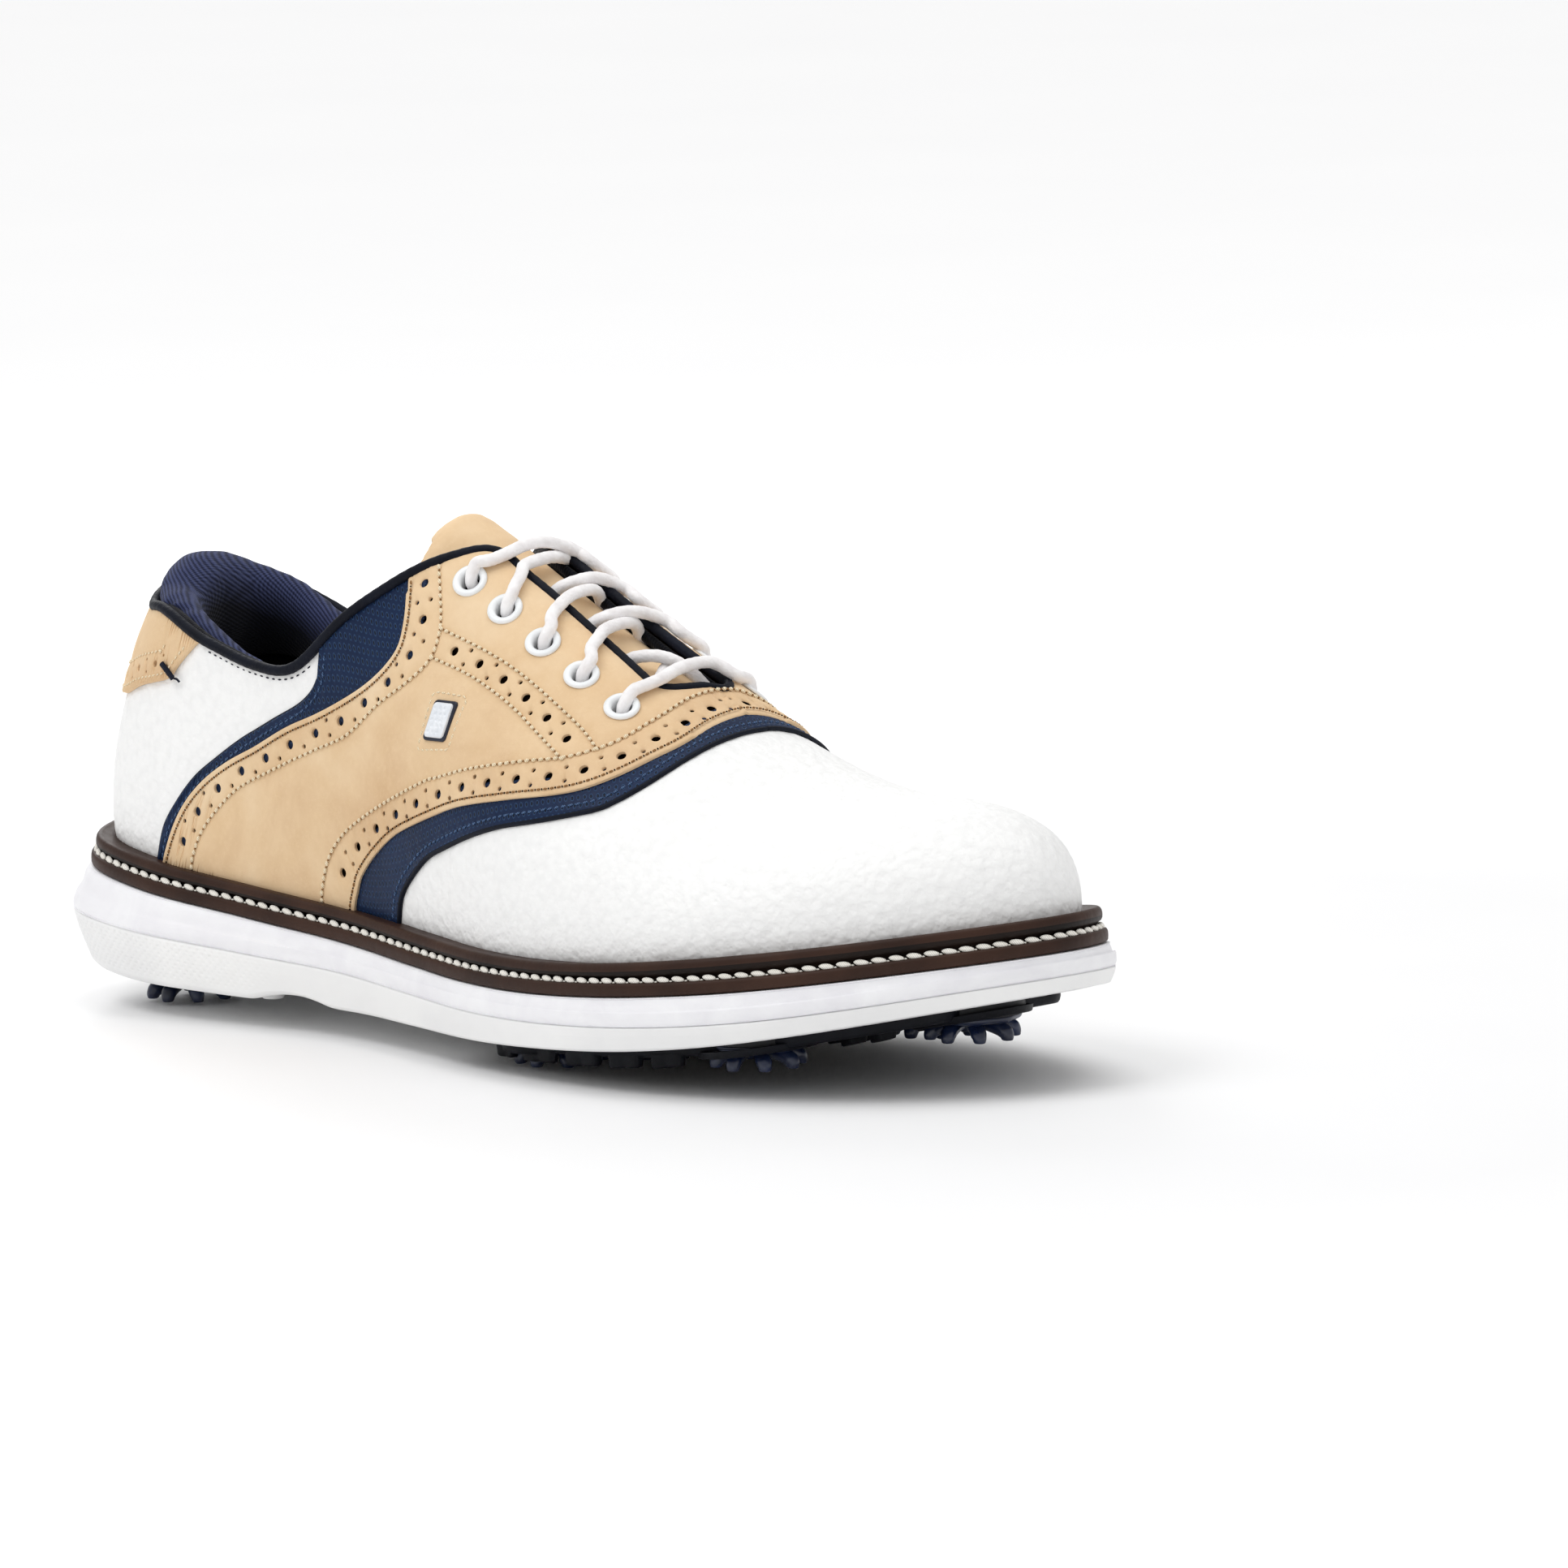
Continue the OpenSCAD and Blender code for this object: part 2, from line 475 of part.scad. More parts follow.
// ring outside the welt's edge by out plus a share of the flare, lift over a height curve
function sole_ring(out,heights,lift = 0,flared = 0) = [for (place = STATIONS)
  let(p = beside(place,flared*flare(place)+out)) [p.x,p.y,at(heights,edge(place).x)+lift]];
module bar(from_x,to_x,half_width,low,high) { // along the waist, low to high over the seat
  n = 8;
  points = [for (i = [0:n])
    let(x = from_x+(to_x-from_x)*i/n, y = at(MIDDLE_Y,x), z = at(SEAT,x))
    each [sized([x,y-half_width,z+low]), sized([x,y+half_width,z+low]),
      sized([x,y+half_width,z+high]), sized([x,y-half_width,z+high])]];
  polyhedron(points = points, faces = concat(walls(n+1,4),
    [[0,1,2],[0,2,3],[4*n+2,4*n+1,4*n],[4*n+3,4*n+2,4*n]]));
}

module midsole() color([0.95,0.94,0.97]) resize([0,0,0]) difference() {
  stack([sole_ring(-0.3,SPLIT,0.08,1), sole_ring(0,SPLIT,0.8,1), sole_ring(0.3,SPLIT,3.4,0.75),
    sole_ring(0.2,SEAT,-2,0.3), sole_ring(0.2,SEAT,-0.5), sole_ring(-0.4,SEAT,-0.06),
    sole_ring(-9.5,SEAT,-0.06), sole_ring(-9.7,SEAT,5)]);
  bar(64,151,8.2,3.6,5.6); // slot for the shank
  for (i = HIGH_CLEATS) socket(CLEATS[i]); // these sockets reach up into the foam
}
module shank() color([0.6,0.62,0.65]) bar(65,150,8,3.75,4.9);
BOARD_TOP = 7.2; // over the seat
LINER_BOTTOM = BOARD_TOP+0.15;
module insole_board() color([0.72,0.62,0.48])
  stack([sole_ring(-10.6,SEAT,5.15), sole_ring(-10.6,SEAT,BOARD_TOP)]);
module sockliner() color(PAD_NAVY) stack([sole_ring(-11.6,SEAT,LINER_BOTTOM),
  sole_ring(-11.2,SEAT,8.4), sole_ring(-11.4,SEAT,LINER_BOTTOM+sockliner_t)]);

// top of the welt under the upper: its height follows the feather
function welt_inner(out) = [for (place = STATIONS) let(p = beside(place,out))
  [p.x,p.y,at(SEAT,beside(place,FEATHER_OUT).x)+welt_h-0.15]];
module welt() color([0.24,0.16,0.12]) hoop([
  sole_ring(-9,SEAT,0.16), sole_ring(-0.4,SEAT,0.16), sole_ring(0,SEAT,0.7),
  sole_ring(-0.1,SEAT,2.7), sole_ring(-2.1,SEAT,3.15), sole_ring(-2.1,SEAT,4.15),
  sole_ring(-1.2,SEAT,4.6), sole_ring(-1.4,SEAT,6.4), sole_ring(-2.4,SEAT,welt_h),
  welt_inner(-4.2), welt_inner(-9)]);
module welt_stitching() color(THREAD_WHITE) // a thread of diamond section in the welt's groove
  hoop([for (k = [0:3]) sole_ring(-1.35+0.62*cos(90*k),SEAT,3.66+0.42*sin(90*k))]);

module outsole() color([0.96,0.96,0.95]) resize([0,0,0]) difference() {
  union() {
    stack([sole_ring(-3,TREAD), sole_ring(-0.6,TREAD,0.25,0.1), sole_ring(0,TREAD,1.2,0.15),
      sole_ring(0,SPLIT,-4,0.75), sole_ring(0,SPLIT,-1,1), sole_ring(-0.3,SPLIT,-0.02,1)]);
    for (i = HEEL_CLEATS) post(CLEATS[i],cleat_r+1.5,CLEATS[i].z,12);
  }
  // the waist is cut away in front of the heel block
  translate([sized_x(90),150,-33]) rotate([90,0,0]) cylinder(r = 41.5, h = 300, $fn = 40);
  for (i = HIGH_CLEATS) post(CLEATS[i],POCKET_R,0,CLEATS[i].z);
  for (spot = CLEATS) socket(spot);
}
module traction_plate() color([0.06,0.07,0.1]) resize([0,0,0]) difference() {
  union() {
    intersection() {
      stack([sole_ring(-11,TREAD,-2.6), sole_ring(-9.5,TREAD,-1.6), sole_ring(-9.5,TREAD,-0.06)]);
      translate([sized_x(152),-100,0]) linear_extrude(60)
        offset(r = 12) offset(delta = -12) square([126*length_scale,200]);
    }
    for (i = FRONT_CLEATS) intersection() {
      post(CLEATS[i],cleat_r+1.2,CLEATS[i].z,30);
      stack([sole_ring(-5,TREAD,-8), sole_ring(-5,TREAD,-0.06)]);
    }
  }
  stack([sole_ring(-3,TREAD,-0.08), sole_ring(-3,TREAD,20)]); // the underside of the outsole
  for (spot = CLEATS) post(spot,POCKET_R,-5,spot.z);
  for (spot = CLEATS) post(spot,SOCKET_R,0,60,16);
}

// ---- cleats ----
// socket insert: a running bore for the stud, with a chamber for its head
module receptacle() {
  bore = stud_r+stud_gap;
  chamber = stud_r+0.85;
  rotate_extrude() polygon([[bore,0],[RECEPTACLE_R,0],[RECEPTACLE_R,RECEPTACLE_H],
    [0,RECEPTACLE_H],[0,5.6],[chamber,5.6],[chamber,3.9],[bore,3.9]]);
}
module cleat_receptacles() color([0.12,0.13,0.16])
  for (spot = CLEATS) translate(cleat_at(spot,spot.z)) receptacle();
// soft spike: stud with a snap head, domed flange, a ring of legs and two holes underneath
module cleat(spot) color([0.05,0.08,0.16]) translate(cleat_at(spot,spot.z)) difference() {
  union() {
    rotate_extrude() polygon([[0,-3.4],[3.6,-3.4],[4.6,-2.5],[cleat_r-1.2,-1.7],[cleat_r,-0.9],
      [cleat_r,-0.1],[stud_r,-0.1],[stud_r,4.1],[stud_r+0.7,4.3],[stud_r+0.7,4.9],
      [stud_r-0.6,5.4],[0,5.4]]);
    for (k = [0:cleat_legs-1]) rotate([0,0,360*k/cleat_legs]) translate([cleat_r-2.3,0,-6.2])
      cylinder(r1 = 1.15, r2 = 2.1, h = 5.2, $fn = 32);
  }
  for (turn = [0,180]) rotate([0,0,turn]) translate([2.1,0,-4])
    cylinder(r = 0.8, h = 2.6, $fn = 24);
}
module cleat_heel_lateral() cleat(CLEATS[0]);
module cleat_heel_medial() cleat(CLEATS[1]);
module cleat_arch_lateral() cleat(CLEATS[2]);
module cleat_ball_lateral() cleat(CLEATS[3]);
module cleat_arch_medial() cleat(CLEATS[4]);
module cleat_ball_medial() cleat(CLEATS[5]);
module cleat_toe() cleat(CLEATS[6]);

outsole();
midsole();
traction_plate();
cleat_receptacles();
welt();
welt_stitching();
insole_board();
shank();
sockliner();
lining();
toe_puff();
heel_counter();
eyestay_reinforcement();
vamp();
back_quarter();
rear_underlay_lateral();
rear_underlay_medial();
saddle_backing();
front_underlay();
saddle();
heel_tab();
topline_piping();
collar_padding();
tongue();
tongue_foam();
tongue_lining();
eyelets();
lace();
side_emblem();
bartacks();
cleat_heel_lateral();
cleat_heel_medial();
cleat_arch_lateral();
cleat_ball_lateral();
cleat_arch_medial();
cleat_ball_medial();
cleat_toe();
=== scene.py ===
# Spiked saddle golf shoe. Shapes are computed in shoe millimetres: heel at x 0, toe at x 300,
# lateral side at -y, z up. to_world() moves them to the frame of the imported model.
#
# A spot on the upper is [place, rise]. Place runs round the outline: 0 at the heel, 13 at the
# toe by the lateral side, 26 at the heel again by the medial side. Rise runs up the wall of
# the last: 0 at its lower rim, 1 on the ridge. A "curve" is an array of such spots.
import itertools
import math

import bmesh
import bpy
import numpy as np
from mathutils import Matrix, Vector
from mathutils.geometry import delaunay_2d_cdt
from mathutils.kdtree import KDTree


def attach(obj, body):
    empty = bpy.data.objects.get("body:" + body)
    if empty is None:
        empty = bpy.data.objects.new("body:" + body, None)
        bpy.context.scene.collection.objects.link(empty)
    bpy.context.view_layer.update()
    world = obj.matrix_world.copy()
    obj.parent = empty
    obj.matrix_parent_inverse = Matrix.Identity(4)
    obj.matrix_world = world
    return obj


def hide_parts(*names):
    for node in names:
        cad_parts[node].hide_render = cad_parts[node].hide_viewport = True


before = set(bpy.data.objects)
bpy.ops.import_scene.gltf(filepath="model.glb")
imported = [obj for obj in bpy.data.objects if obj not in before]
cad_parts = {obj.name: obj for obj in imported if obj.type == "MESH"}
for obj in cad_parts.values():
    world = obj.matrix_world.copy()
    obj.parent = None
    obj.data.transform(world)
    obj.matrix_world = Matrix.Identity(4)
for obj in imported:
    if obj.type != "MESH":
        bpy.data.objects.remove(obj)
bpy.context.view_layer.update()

MID = np.array([148.5, -1.60271, 0.0])      # shoe point that lies at the world origin
MM = 0.001
LATERAL, MEDIAL = -1, 1


def detail(full, draft):
    """the first value; draft is not used"""
    return full


def to_world(points):
    return (np.asarray(points, float) - MID) * MM


# ------------------------------------------------------------------ the last
# outline of the sole in plan, one point per place
OUTLINE = np.array([
    (0, 0), (3, -17.5), (16, -34.5), (42, -41), (75, -39.5), (108, -39), (139, -45.5),
    (169, -53), (198, -56.5), (224, -55.5), (250, -47.5), (274, -33), (293, -13), (300.5, 8),
    (294.5, 27), (279, 41), (256, 50), (230, 53.5), (200, 51.5), (170, 45), (140, 37),
    (108, 31.5), (75, 33), (42, 38), (17, 32.5), (3.5, 17)], float)
LAP = len(OUTLINE)
TOE = LAP // 2
X_HEEL, X_TOE = 40.0, 258.0     # ends of the middle line; wall sections fan out beyond them
FEATHER = -6.0                  # offset of the lower rim of the wall from the outline

# tables over x: (x, value)
SEAT = [(0, 34.5), (60, 27.5), (120, 22), (180, 20), (240, 23.7), (303, 32)]    # top of midsole
SPLIT = [(0, 24), (40, 20.5), (100, 16.5), (200, 14.3), (250, 18), (303, 27)]   # its underside
TREAD = [(0, 11), (20, 8.5), (60, 6.8), (120, 6.5), (180, 7), (240, 11.5), (303, 23)]
MIDDLE = [(0, 0), (40, -1), (108, -2), (150, 0), (190, 4), (225, 6), (258, 8), (303, 8)]  # y
RIDGE = [(0, 116), (20, 118), (40, 145), (60, 165), (80, 160), (100, 146), (115, 132),
         (130, 120), (147, 109.7), (168, 96.8), (186, 86.5), (205, 76.4), (225, 67.5),
         (245, 63), (258, 63)]                                                  # z of rise 1
FLARE = [(0, 5), (40, 3.5), (100, 1.5), (220, 1.5), (303, 1.5)]                 # of the sole
# wall section, a cubic curve: bulge and height of control point 1, width of control point 2
BULGE = [(0, 4.5), (40, 1.5), (100, 3.3), (150, 2), (200, 3), (258, 1.8), (303, .5)]
SHOULDER = [(0, .32), (40, .3), (100, .42), (150, .5), (200, .5), (258, .62), (303, .65)]
CROWN = [(0, .58), (40, .66), (100, .71), (150, .54), (200, .5), (258, .7), (303, .76)]
# topline: (place from the heel, rise)
TOP_FRONT = [(4, .318), (4.4, .335), (4.8, .44), (5.2, .575), (5.6, .745), (5.8, .84),
             (6.2, .86), (7, .862), (7.5, .85)]
TOP_LATERAL = [(0, .62), (1.6, .618), (2, .597), (2.5, .515), (3, .43), (3.5, .347)] + TOP_FRONT
TOP_MEDIAL = [(0, .62), (1.6, .618), (2, .597), (2.4, .52), (2.7, .445), (3, .385),
              (3.5, .33), (4, .315)] + TOP_FRONT[1:]
EYELETS = [5.83, 6.21, 6.63, 7.07, 7.52]    # places
EYELET_RISE = .72
CLEATS = [("heel_lateral", 30, -16, 6.2), ("heel_medial", 31, 15, 6.2),     # name, x, y, z
          ("arch_lateral", 176, -32, 6.2), ("ball_lateral", 240, -31, 11.2),
          ("arch_medial", 182, 24, 6.2), ("ball_medial", 237, 29, 10.8), ("toe", 271, 7, 15.6)]


def unit(vectors, tiny=0.0):
    return vectors / (np.linalg.norm(vectors, axis=-1, keepdims=True) + tiny)


def hermite(table, x):
    """smooth curve through a table of (x, value)"""
    table = np.asarray(table, float)
    knots, values = table[:, 0], table[:, 1]
    slope = np.zeros(len(knots))
    chord = (values[1:] - values[:-1]) / (knots[1:] - knots[:-1])
    slope[1:-1] = (chord[1:] * (knots[1:-1] - knots[:-2])
                   + chord[:-1] * (knots[2:] - knots[1:-1])) / (knots[2:] - knots[:-2])
    slope[0], slope[-1] = chord[0], chord[-1]
    x = np.clip(np.asarray(x, float), knots[0], knots[-1])
    i = np.clip(np.searchsorted(knots, x, side="right") - 1, 0, len(knots) - 2)
    span = knots[i + 1] - knots[i]
    s = (x - knots[i]) / span
    return ((1 + 2 * s) * (1 - s) ** 2 * values[i] + s * (1 - s) ** 2 * span * slope[i]
            + s * s * (3 - 2 * s) * values[i + 1] + s * s * (s - 1) * span * slope[i + 1])


def catmull(p0, p1, p2, p3, s):
    """Catmull-Rom point between p1 and p2"""
    return 0.5 * ((2 * p1) + (-p0 + p2) * s + (2 * p0 - 5 * p1 + 4 * p2 - p3) * s * s
                  + (-p0 + 3 * p1 - 3 * p2 + p3) * s ** 3)


def outline(place):
    place = np.asarray(place, float)
    i = np.floor(place).astype(int)
    s = (place - i)[..., None]
    return catmull(*[OUTLINE[(i + k) % LAP] for k in (-1, 0, 1, 2)], s)


def outline_normal(place):
    tangent = unit(outline(np.asarray(place) + .02) - outline(np.asarray(place) - .02))
    return np.stack([tangent[..., 1], -tangent[..., 0]], -1)


def ring(place, offset):
    """outline moved outward in plan"""
    return outline(place) + outline_normal(place) * np.asarray(offset)[..., None]


def ring3(place, offset, z):
    return np.column_stack([ring(place, offset), z])


def feather(place):
    """lower rim in plan, the centres its sections lean to, their distance and direction"""
    rim = ring(place, FEATHER)
    x = np.clip(rim[..., 0], X_HEEL, X_TOE)
    centre = np.stack([x, hermite(MIDDLE, x)], -1)
    reach = np.linalg.norm(rim - centre, axis=-1)
    return rim, centre, reach, (rim - centre) / reach[..., None]


def surface(place, rise, off=0.0):
    """point of the last's wall, moved off mm outward"""
    place, t, off = np.broadcast_arrays(np.asarray(place, float), np.asarray(rise, float),
                                        np.asarray(off, float))
    rim, centre, reach, ray = feather(place)
    x = rim[..., 0]
    low = hermite(SEAT, x) + 7.5
    high = hermite(RIDGE, np.minimum(x, X_TOE))
    height = high - low
    bulge, shoulder, crown = hermite(BULGE, x), hermite(SHOULDER, x), hermite(CROWN, x)
    w0, w1, w2, w3 = (1 - t) ** 3, 3 * (1 - t) ** 2 * t, 3 * (1 - t) * t * t, t ** 3
    r = w0 * reach + w1 * (reach + bulge) + w2 * crown * reach
    z = w0 * low + w1 * (low + shoulder * height) + (w2 + w3) * high
    d0, d1, d2 = 3 * (1 - t) ** 2, 6 * (1 - t) * t, 3 * t * t
    dr = d0 * bulge + d1 * (crown * reach - reach - bulge) + d2 * (-crown * reach)
    dz = d0 * shoulder * height + d1 * (high - low - shoulder * height)
    length = np.sqrt(dr * dr + dz * dz) + 1e-9
    r = r + off * dz / length
    z = z - off * dr / length
    return np.concatenate([centre + ray * r[..., None], z[..., None]], -1)


def curve3(curve, off=0.0):
    return surface(curve[:, 0], curve[:, 1], off)


_PLACES = {LATERAL: np.linspace(0, TOE, 1301), MEDIAL: np.linspace(LAP, TOE, 1301)}
_RIM_X = {side: np.maximum.accumulate(ring(p, FEATHER)[:, 0]) for side, p in _PLACES.items()}


def place_at(x, side):
    return np.interp(x, _RIM_X[side], _PLACES[side])


def across(place):
    """place on the medial side across from a place on the lateral side"""
    place = np.asarray(place, float)
    x = ring(place, FEATHER)[..., 0]
    share = np.clip((x - 30) / 20, 0, 1) * np.clip((270 - x) / 15, 0, 1)
    return share * place_at(x, MEDIAL) + (1 - share) * (LAP - place)


def lateral(curve):
    return curve


def medial(curve):
    """lateral curve carried across at the same x"""
    return np.stack([across(curve[:, 0]), curve[:, 1]], 1)


def counted_back(curve):
    """curve with its places counted from the other side of the heel"""
    return np.stack([LAP - curve[:, 0], curve[:, 1]], 1)


def below_zero(curve):
    """curve mirrored at the heel, to negative places"""
    return np.stack([-curve[:, 0], curve[:, 1]], 1)


# Flat domain for meshing: one to one with the upper, close to true lengths along the sides
def wall_lengths(stations_x):
    lengths = []
    for x in stations_x:
        total = 0
        for side in (LATERAL, MEDIAL):
            line = surface(np.full(40, place_at(max(x, 8), side)), np.linspace(0, 1, 40))
            total += np.linalg.norm(line[1:] - line[:-1], axis=1).sum() / 2
        lengths.append(total)
    lengths = np.array(lengths)
    heel = np.interp(stations_x, [0, 40, 60], [62, 84, np.interp(60, stations_x, lengths)])
    lengths = np.where(stations_x < 60, heel, lengths)
    return np.where(stations_x > 258, np.interp(258, stations_x, lengths), lengths)


FLAT_X = np.linspace(0, 303, 60)
FLAT_LENGTH = wall_lengths(FLAT_X)


def flat(curve):
    rim, centre, _, ray = feather(curve[..., 0])
    length = np.interp(rim[..., 0], FLAT_X, FLAT_LENGTH)
    return centre + ray * (length * (1 - curve[..., 1]))[..., None]


def fan(low, high, sign):
    """sorted angles of the sections round an end of the last, and their places"""
    places = np.linspace(low, high, 401)
    ray = feather(places)[3]
    angle = np.arctan2(ray[:, 1], sign * ray[:, 0])
    order = np.argsort(angle)
    return angle[order], places[order]


HEEL_FAN, TOE_FAN = fan(-3.4, 3.4, -1), fan(9.6, 16.4, 1)


def unflat(points):
    """place and rise of points of the flat domain"""
    x, y = points[:, 0], points[:, 1]
    centre_x = np.clip(x, X_HEEL, X_TOE)
    dy = y - hermite(MIDDLE, centre_x)
    middle = (x > X_HEEL) & (x < X_TOE)
    reach = np.where(middle, np.abs(dy), np.hypot(x - centre_x, dy))
    place = np.where(dy < 0, place_at(x, LATERAL), place_at(x, MEDIAL))
    heel = np.interp(np.arctan2(dy, -(x - X_HEEL)), *HEEL_FAN) % LAP
    toe = np.interp(np.arctan2(dy, x - X_TOE), *TOE_FAN)
    place = np.where(x <= X_HEEL, heel, np.where(x >= X_TOE, toe, place))
    rim_x = ring(place, FEATHER)[:, 0]
    return place, 1 - reach / np.interp(rim_x, FLAT_X, FLAT_LENGTH)


# ------------------------------------------------------------------ curves
def spline(points, n=12):
    """Catmull-Rom curve with n steps per span"""
    points = np.array(points, float)
    last = len(points) - 1
    s = (np.arange(n) / n)[:, None]
    spans = [catmull(points[max(i - 1, 0)], points[i], points[i + 1],
                     points[min(i + 2, last)], s) for i in range(last)]
    return np.concatenate(spans + [points[-1:]])


def resample(points, step, key=None, closed=False):
    """points at even spacing, measured along key(points)"""
    points = np.asarray(points, float)
    if closed:
        points = np.concatenate([points, points[:1]])
    measured = points if key is None else key(points)
    steps = np.linalg.norm(measured[1:] - measured[:-1], axis=1)
    run = np.concatenate([[0], np.cumsum(steps)])
    n = max(int(round(run[-1] / step)), 2)
    at = np.linspace(0, run[-1], n + 1)
    out = np.stack([np.interp(at, run, column) for column in points.T], 1)
    return out[:-1] if closed else out


def even(curve, step, closed=False):
    """curve at even spacing in mm on the last"""
    return resample(curve, step, curve3, closed)


def relax(points, rounds):
    """closed line of points, smoothed"""
    for _ in range(rounds):
        points = points * .5 + (np.roll(points, 1, 0) + np.roll(points, -1, 0)) * .25
    return points


def turn(n):
    return np.arange(n) * 2 * math.pi / n


def metric(place, rise):
    """point, unit vectors along the outline, up the wall and outward, and the matrix
    from mm (along, up) to [place, rise]"""
    step = 1e-3
    point = surface(place, rise)
    d_place = (surface(place + step, rise) - point) / step
    d_rise = (surface(place, np.minimum(rise + step, 1.2)) - point) / step
    out = unit(np.cross(d_place, d_rise))
    along = unit(d_place)
    up = np.cross(out, along)
    rows = [np.stack([(d_place * v).sum(-1), (d_rise * v).sum(-1)], -1) for v in (along, up)]
    return point, along, up, out, np.linalg.inv(np.stack(rows, -2))


def inset(curve, distance, closed=False):
    """curve moved distance mm to its left on the surface"""
    points = curve3(curve)
    if closed:
        tangent = np.roll(points, -1, 0) - np.roll(points, 1, 0)
    else:
        tangent = np.gradient(points, axis=0)
    _, along, up, out, to_curve = metric(curve[:, 0], curve[:, 1])
    left = np.cross(out, unit(tangent, 1e-12))
    move = np.stack([(left * along).sum(1), (left * up).sum(1)], 1) * distance
    return curve + np.einsum('nij,nj->ni', to_curve, move)


def wall_circle(place, rise, radius, n):
    curve = np.repeat([[place, rise]], n, 0)
    to_curve = metric(curve[:, 0], curve[:, 1])[4]
    move = np.stack([radius * np.cos(turn(n)), radius * np.sin(turn(n))], -1)
    return curve + np.einsum('nij,nj->ni', to_curve, move)


def plan_circle(x, y, radius, n):
    return np.stack([x + radius * np.cos(turn(n)), y + radius * np.sin(turn(n))], 1)


# ------------------------------------------------------------------ noise
def lattice_hash(i, j, k, seed):
    n = (i * 73856093) ^ (j * 19349663) ^ (k * 83492791) ^ (seed * 2654435761)
    n &= 0xffffffff
    n = ((n ^ (n >> 13)) * 1274126177) & 0xffffffff
    n ^= n >> 16
    n = (n * 2246822519) & 0xffffffff
    n ^= n >> 15
    return (n & 0xffffff) / float(0xffffff)


def noise(points, cell, seed):
    """smooth noise from -1 to 1 with features cell mm wide"""
    q = np.asarray(points, float) / cell
    i = np.floor(q).astype(np.int64)
    f = q - i
    f = f * f * (3 - 2 * f)
    total = 0
    for corner in itertools.product((0, 1), repeat=3):
        wx, wy, wz = [f[:, k] if c else 1 - f[:, k] for k, c in enumerate(corner)]
        total = total + wx * wy * wz * lattice_hash(*(i + corner).T, seed)
    return total * 2 - 1


def plan_noise(x, y, cell, seed):
    return noise(np.stack([x, y, x * 0], 1), cell, seed)


def nearest_cell(points, cell, seed):
    """distance to the nearest of scattered points, in cells"""
    q = np.asarray(points, float) / cell
    i = np.floor(q).astype(np.int64)
    nearest = np.full(len(q), 9.)
    for step in itertools.product((-1, 0, 1), repeat=3):
        x, y, z = (i + step).T
        seeds = [c + lattice_hash(x, y, z, seed + k + 1) for k, c in enumerate((x, y, z))]
        nearest = np.minimum(nearest, np.linalg.norm(q - np.stack(seeds, 1), axis=1))
    return nearest


# ------------------------------------------------------------------ mesh making
MATS = {}


def add_mesh(name, verts, faces, mat, body="shoe", rep=None, slot=None, sharp=None, uv=None,
             face_slots=None):
    """one piece from points in shoe mm; every piece rides on its body"""
    me = bpy.data.meshes.new(name)
    me.from_pydata(to_world(verts).tolist(), [], [list(map(int, f)) for f in faces])
    me.update()
    me.polygons.foreach_set("use_smooth", [True] * len(me.polygons))
    ob = bpy.data.objects.new(name, me)
    bpy.context.scene.collection.objects.link(ob)
    for m in (mat if isinstance(mat, list) else [mat]):
        me.materials.append(MATS[m])
    if face_slots is not None:
        me.polygons.foreach_set("material_index", face_slots)
    if uv is not None:
        layer = me.uv_layers.new(name="Surface")
        corner = np.zeros(len(me.loops), np.int32)
        me.loops.foreach_get("vertex_index", corner)
        layer.data.foreach_set("uv", np.asarray(uv, np.float32)[corner].ravel())
    if sharp:
        me.set_sharp_from_angle(angle=math.radians(sharp))
    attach(ob, body)
    if rep:
        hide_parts(rep)
    return ob


class Parts:
    """collects many small solids into one piece"""
    def __init__(self):
        self.verts, self.faces, self.slots, self.count = [], [], [], 0

    def add(self, verts, faces, slot=0):
        verts = np.asarray(verts, float)
        self.verts.append(verts)
        self.faces += [[int(i) + self.count for i in f] for f in faces]
        self.slots += [slot] * len(faces)
        self.count += len(verts)

    def out(self, name, mat, **options):
        slots = self.slots if isinstance(mat, list) else None
        return add_mesh(name, np.concatenate(self.verts), self.faces, mat,
                        face_slots=slots, **options)


def get_coords(ob):
    coords = np.zeros(len(ob.data.vertices) * 3)
    ob.data.vertices.foreach_get("co", coords)
    return coords.reshape(-1, 3)


def set_coords(ob, coords):
    ob.data.vertices.foreach_set("co", np.asarray(coords, np.float32).ravel())
    ob.data.update()


def shoe_coords(ob):
    return get_coords(ob) * 1000 + MID


def add_attribute(ob, name, values):
    attribute = ob.data.attributes.new(name, "FLOAT", "POINT")
    attribute.data.foreach_set("value", np.asarray(values, np.float32))


def fix_normals(ob):
    bm = bmesh.new()
    bm.from_mesh(ob.data)
    bmesh.ops.recalc_face_normals(bm, faces=bm.faces)
    bm.to_mesh(ob.data)
    bm.free()


def grid_faces(rows, cols, wrap=False):
    """faces between closed rows of cols points; wrap joins the last row to the first"""
    faces = []
    for j in range(rows if wrap else rows - 1):
        b, c = j * cols, (j + 1) % rows * cols
        faces += [[b + i, b + (i + 1) % cols, c + (i + 1) % cols, c + i] for i in range(cols)]
    return faces


def loft_faces(rows, cols):
    """grid_faces with both ends capped"""
    last = (rows - 1) * cols
    return grid_faces(rows, cols) + [list(range(cols))[::-1], list(range(last, last + cols))]


def kd_point(q):
    return (q[0], q[1], q[2] if len(q) > 2 else 0)


def kd_tree(points):
    tree = KDTree(len(points))
    for i, q in enumerate(points):
        tree.insert(kd_point(q), i)
    tree.balance()
    return tree


def tree_on(curves):
    return kd_tree(np.concatenate([curve3(c) for c in curves]))


def distances(tree, points):
    return np.array([tree.find(kd_point(q))[2] for q in points])


